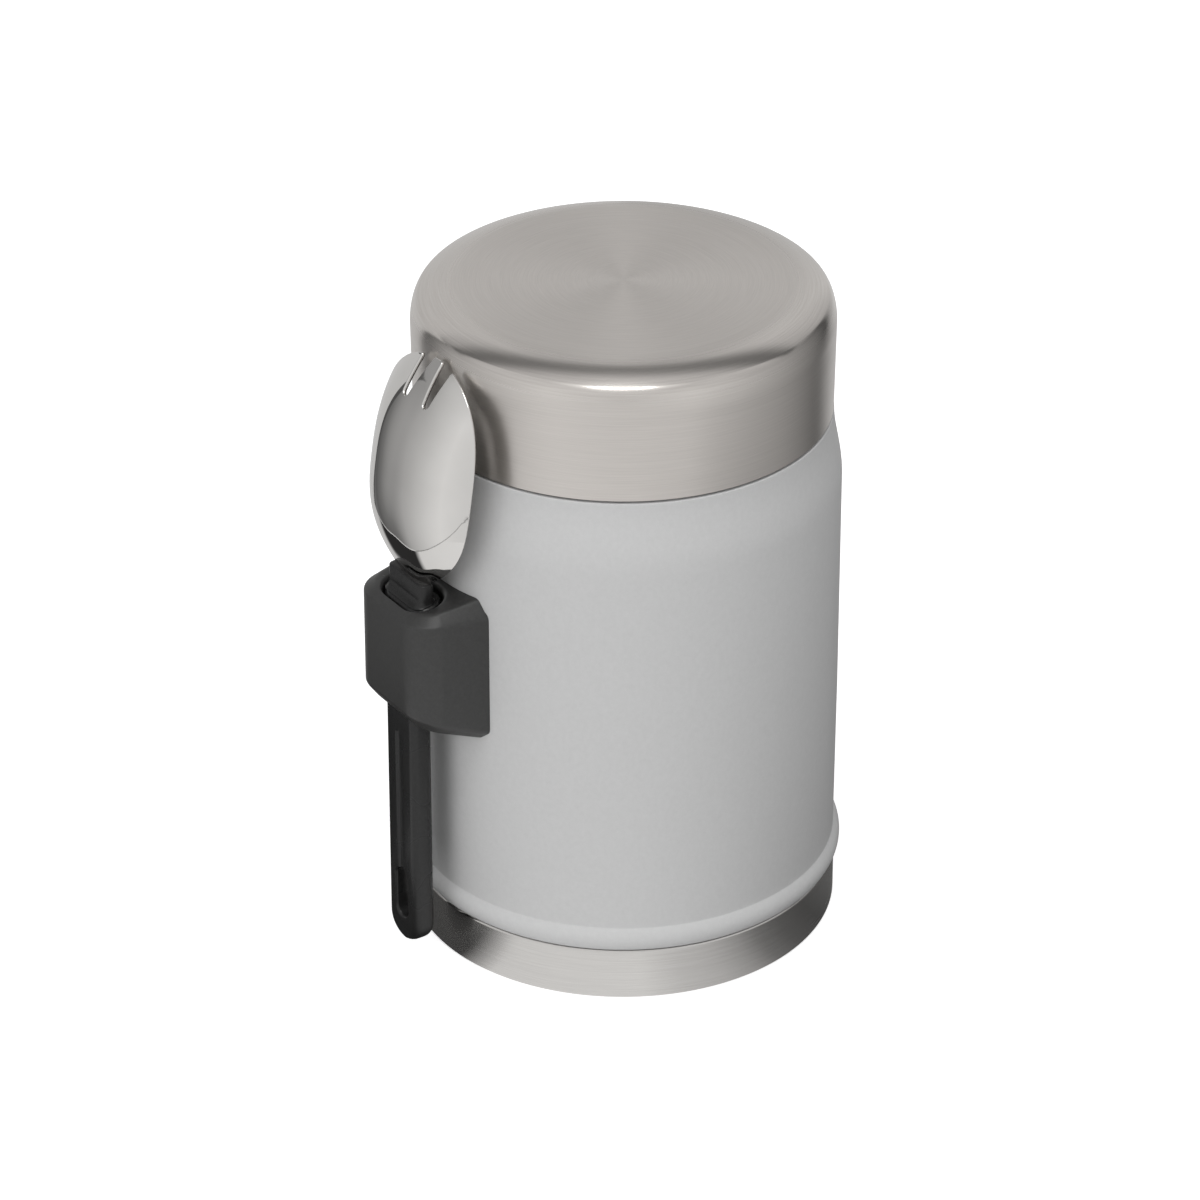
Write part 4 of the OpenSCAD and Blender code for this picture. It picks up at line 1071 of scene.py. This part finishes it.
# the pale panel's edge leans to the right as it rises, and back to the left higher up
lean = maths(tree, "MULTIPLY", maths(tree, "MINIMUM", rise, BEND_RISE), LEAN)
higher = maths(tree, "MAXIMUM", maths(tree, "SUBTRACT", rise, BEND_RISE), 0.0)
leaned = maths(tree, "SUBTRACT", maths(tree, "MULTIPLY", turn, 360.0), lean)
leaned = maths(tree, "ADD", leaned, maths(tree, "MULTIPLY", higher, LEAN_BACK))
below = maths(tree, "LESS_THAN", rise, PANEL_TOP)
gap = maths(tree, "MULTIPLY", maths(tree, "LESS_THAN", leaned, GAP_END), below)
panel = maths(tree, "MULTIPLY", maths(tree, "LESS_THAN", leaned, PANEL_END), below)
tone = mixed(tree, panel, mixed(tree, gap, tone_ramp(tree, turn, ROOM), GAP_TONE), PANEL_TONE)
print("the panel ends", 180 - PANEL_END, "degrees to the left of the camera")

# %% Ceiling, dark strip and glow
up = along_direction(tree, direction, UP)
forward = maths(tree, "DIVIDE", along_direction(tree, direction, TOWARDS_EYE), maths(tree, "MAXIMUM", up, 0.1))
tone = mixed(tree, ranged(tree, rise, 18, 54, 0, 1), tone, CEILING_TONE)
# the strip lies between the backdrop and the softbox
strip = maths(tree, "MULTIPLY", ranged(tree, forward, -0.80, -0.62, 0, 1), ranged(tree, forward, -0.42, -0.24, 1, 0))
tone = mixed(tree, maths(tree, "MULTIPLY", strip, ranged(tree, up, 0.3, 0.5, 0, 1)), tone, STRIP_TONE)
aside = along_direction(tree, direction, lamp_direction(*SOFTBOX))
tone = mixed(tree, ranged(tree, aside, 0.89, 0.98, 0, 1), tone, GLOW_TONE)
tone = mixed(tree, tree.nodes.new("ShaderNodeLightPath").outputs["Is Camera Ray"], tone, 1.0)
sky = added(tree, "ShaderNodeBackground", {"Color": tone})
added(tree, "ShaderNodeOutputWorld", {"Surface": sky.outputs[0]})
print("sky nodes:", len(tree.nodes))

# %% [markdown]
# ## The lamps
# One soft round lamp stands high on the camera's side and gives the lid its highlight. Two wide fills light the
# coat from both sides. They stay out of mirrors, because the photograph shows a single lamp in the steel.

# %% Lamps
JAR_MIDDLE = Vector((0, 0, 75)) * MM


def lamp(name, turn, height, distance, width, tall, watts, in_mirrors=True):
    """A soft lamp. Turn is in degrees to the right of the camera, seen from the jar."""
    spot = lamp_direction(turn, height) * distance + JAR_MIDDLE
    data = bpy.data.lights.new(name, "AREA")
    data.shape, data.size, data.size_y, data.energy = "ELLIPSE", width, tall, watts
    light = bpy.data.objects.new(name, data)
    bpy.context.scene.collection.objects.link(light)
    light.location = spot
    light.rotation_euler = (JAR_MIDDLE - spot).to_track_quat("-Z", "Y").to_euler()
    light.visible_glossy = in_mirrors


lamp("softbox", *SOFTBOX, 1.1, 0.44, 0.44, 2.3)
lamp("fill_left", -42, 25, 1.1, 0.8, 0.6, 2.2, in_mirrors=False)
lamp("fill_right", 66, 15, 1.2, 0.6, 0.6, 1.3, in_mirrors=False)
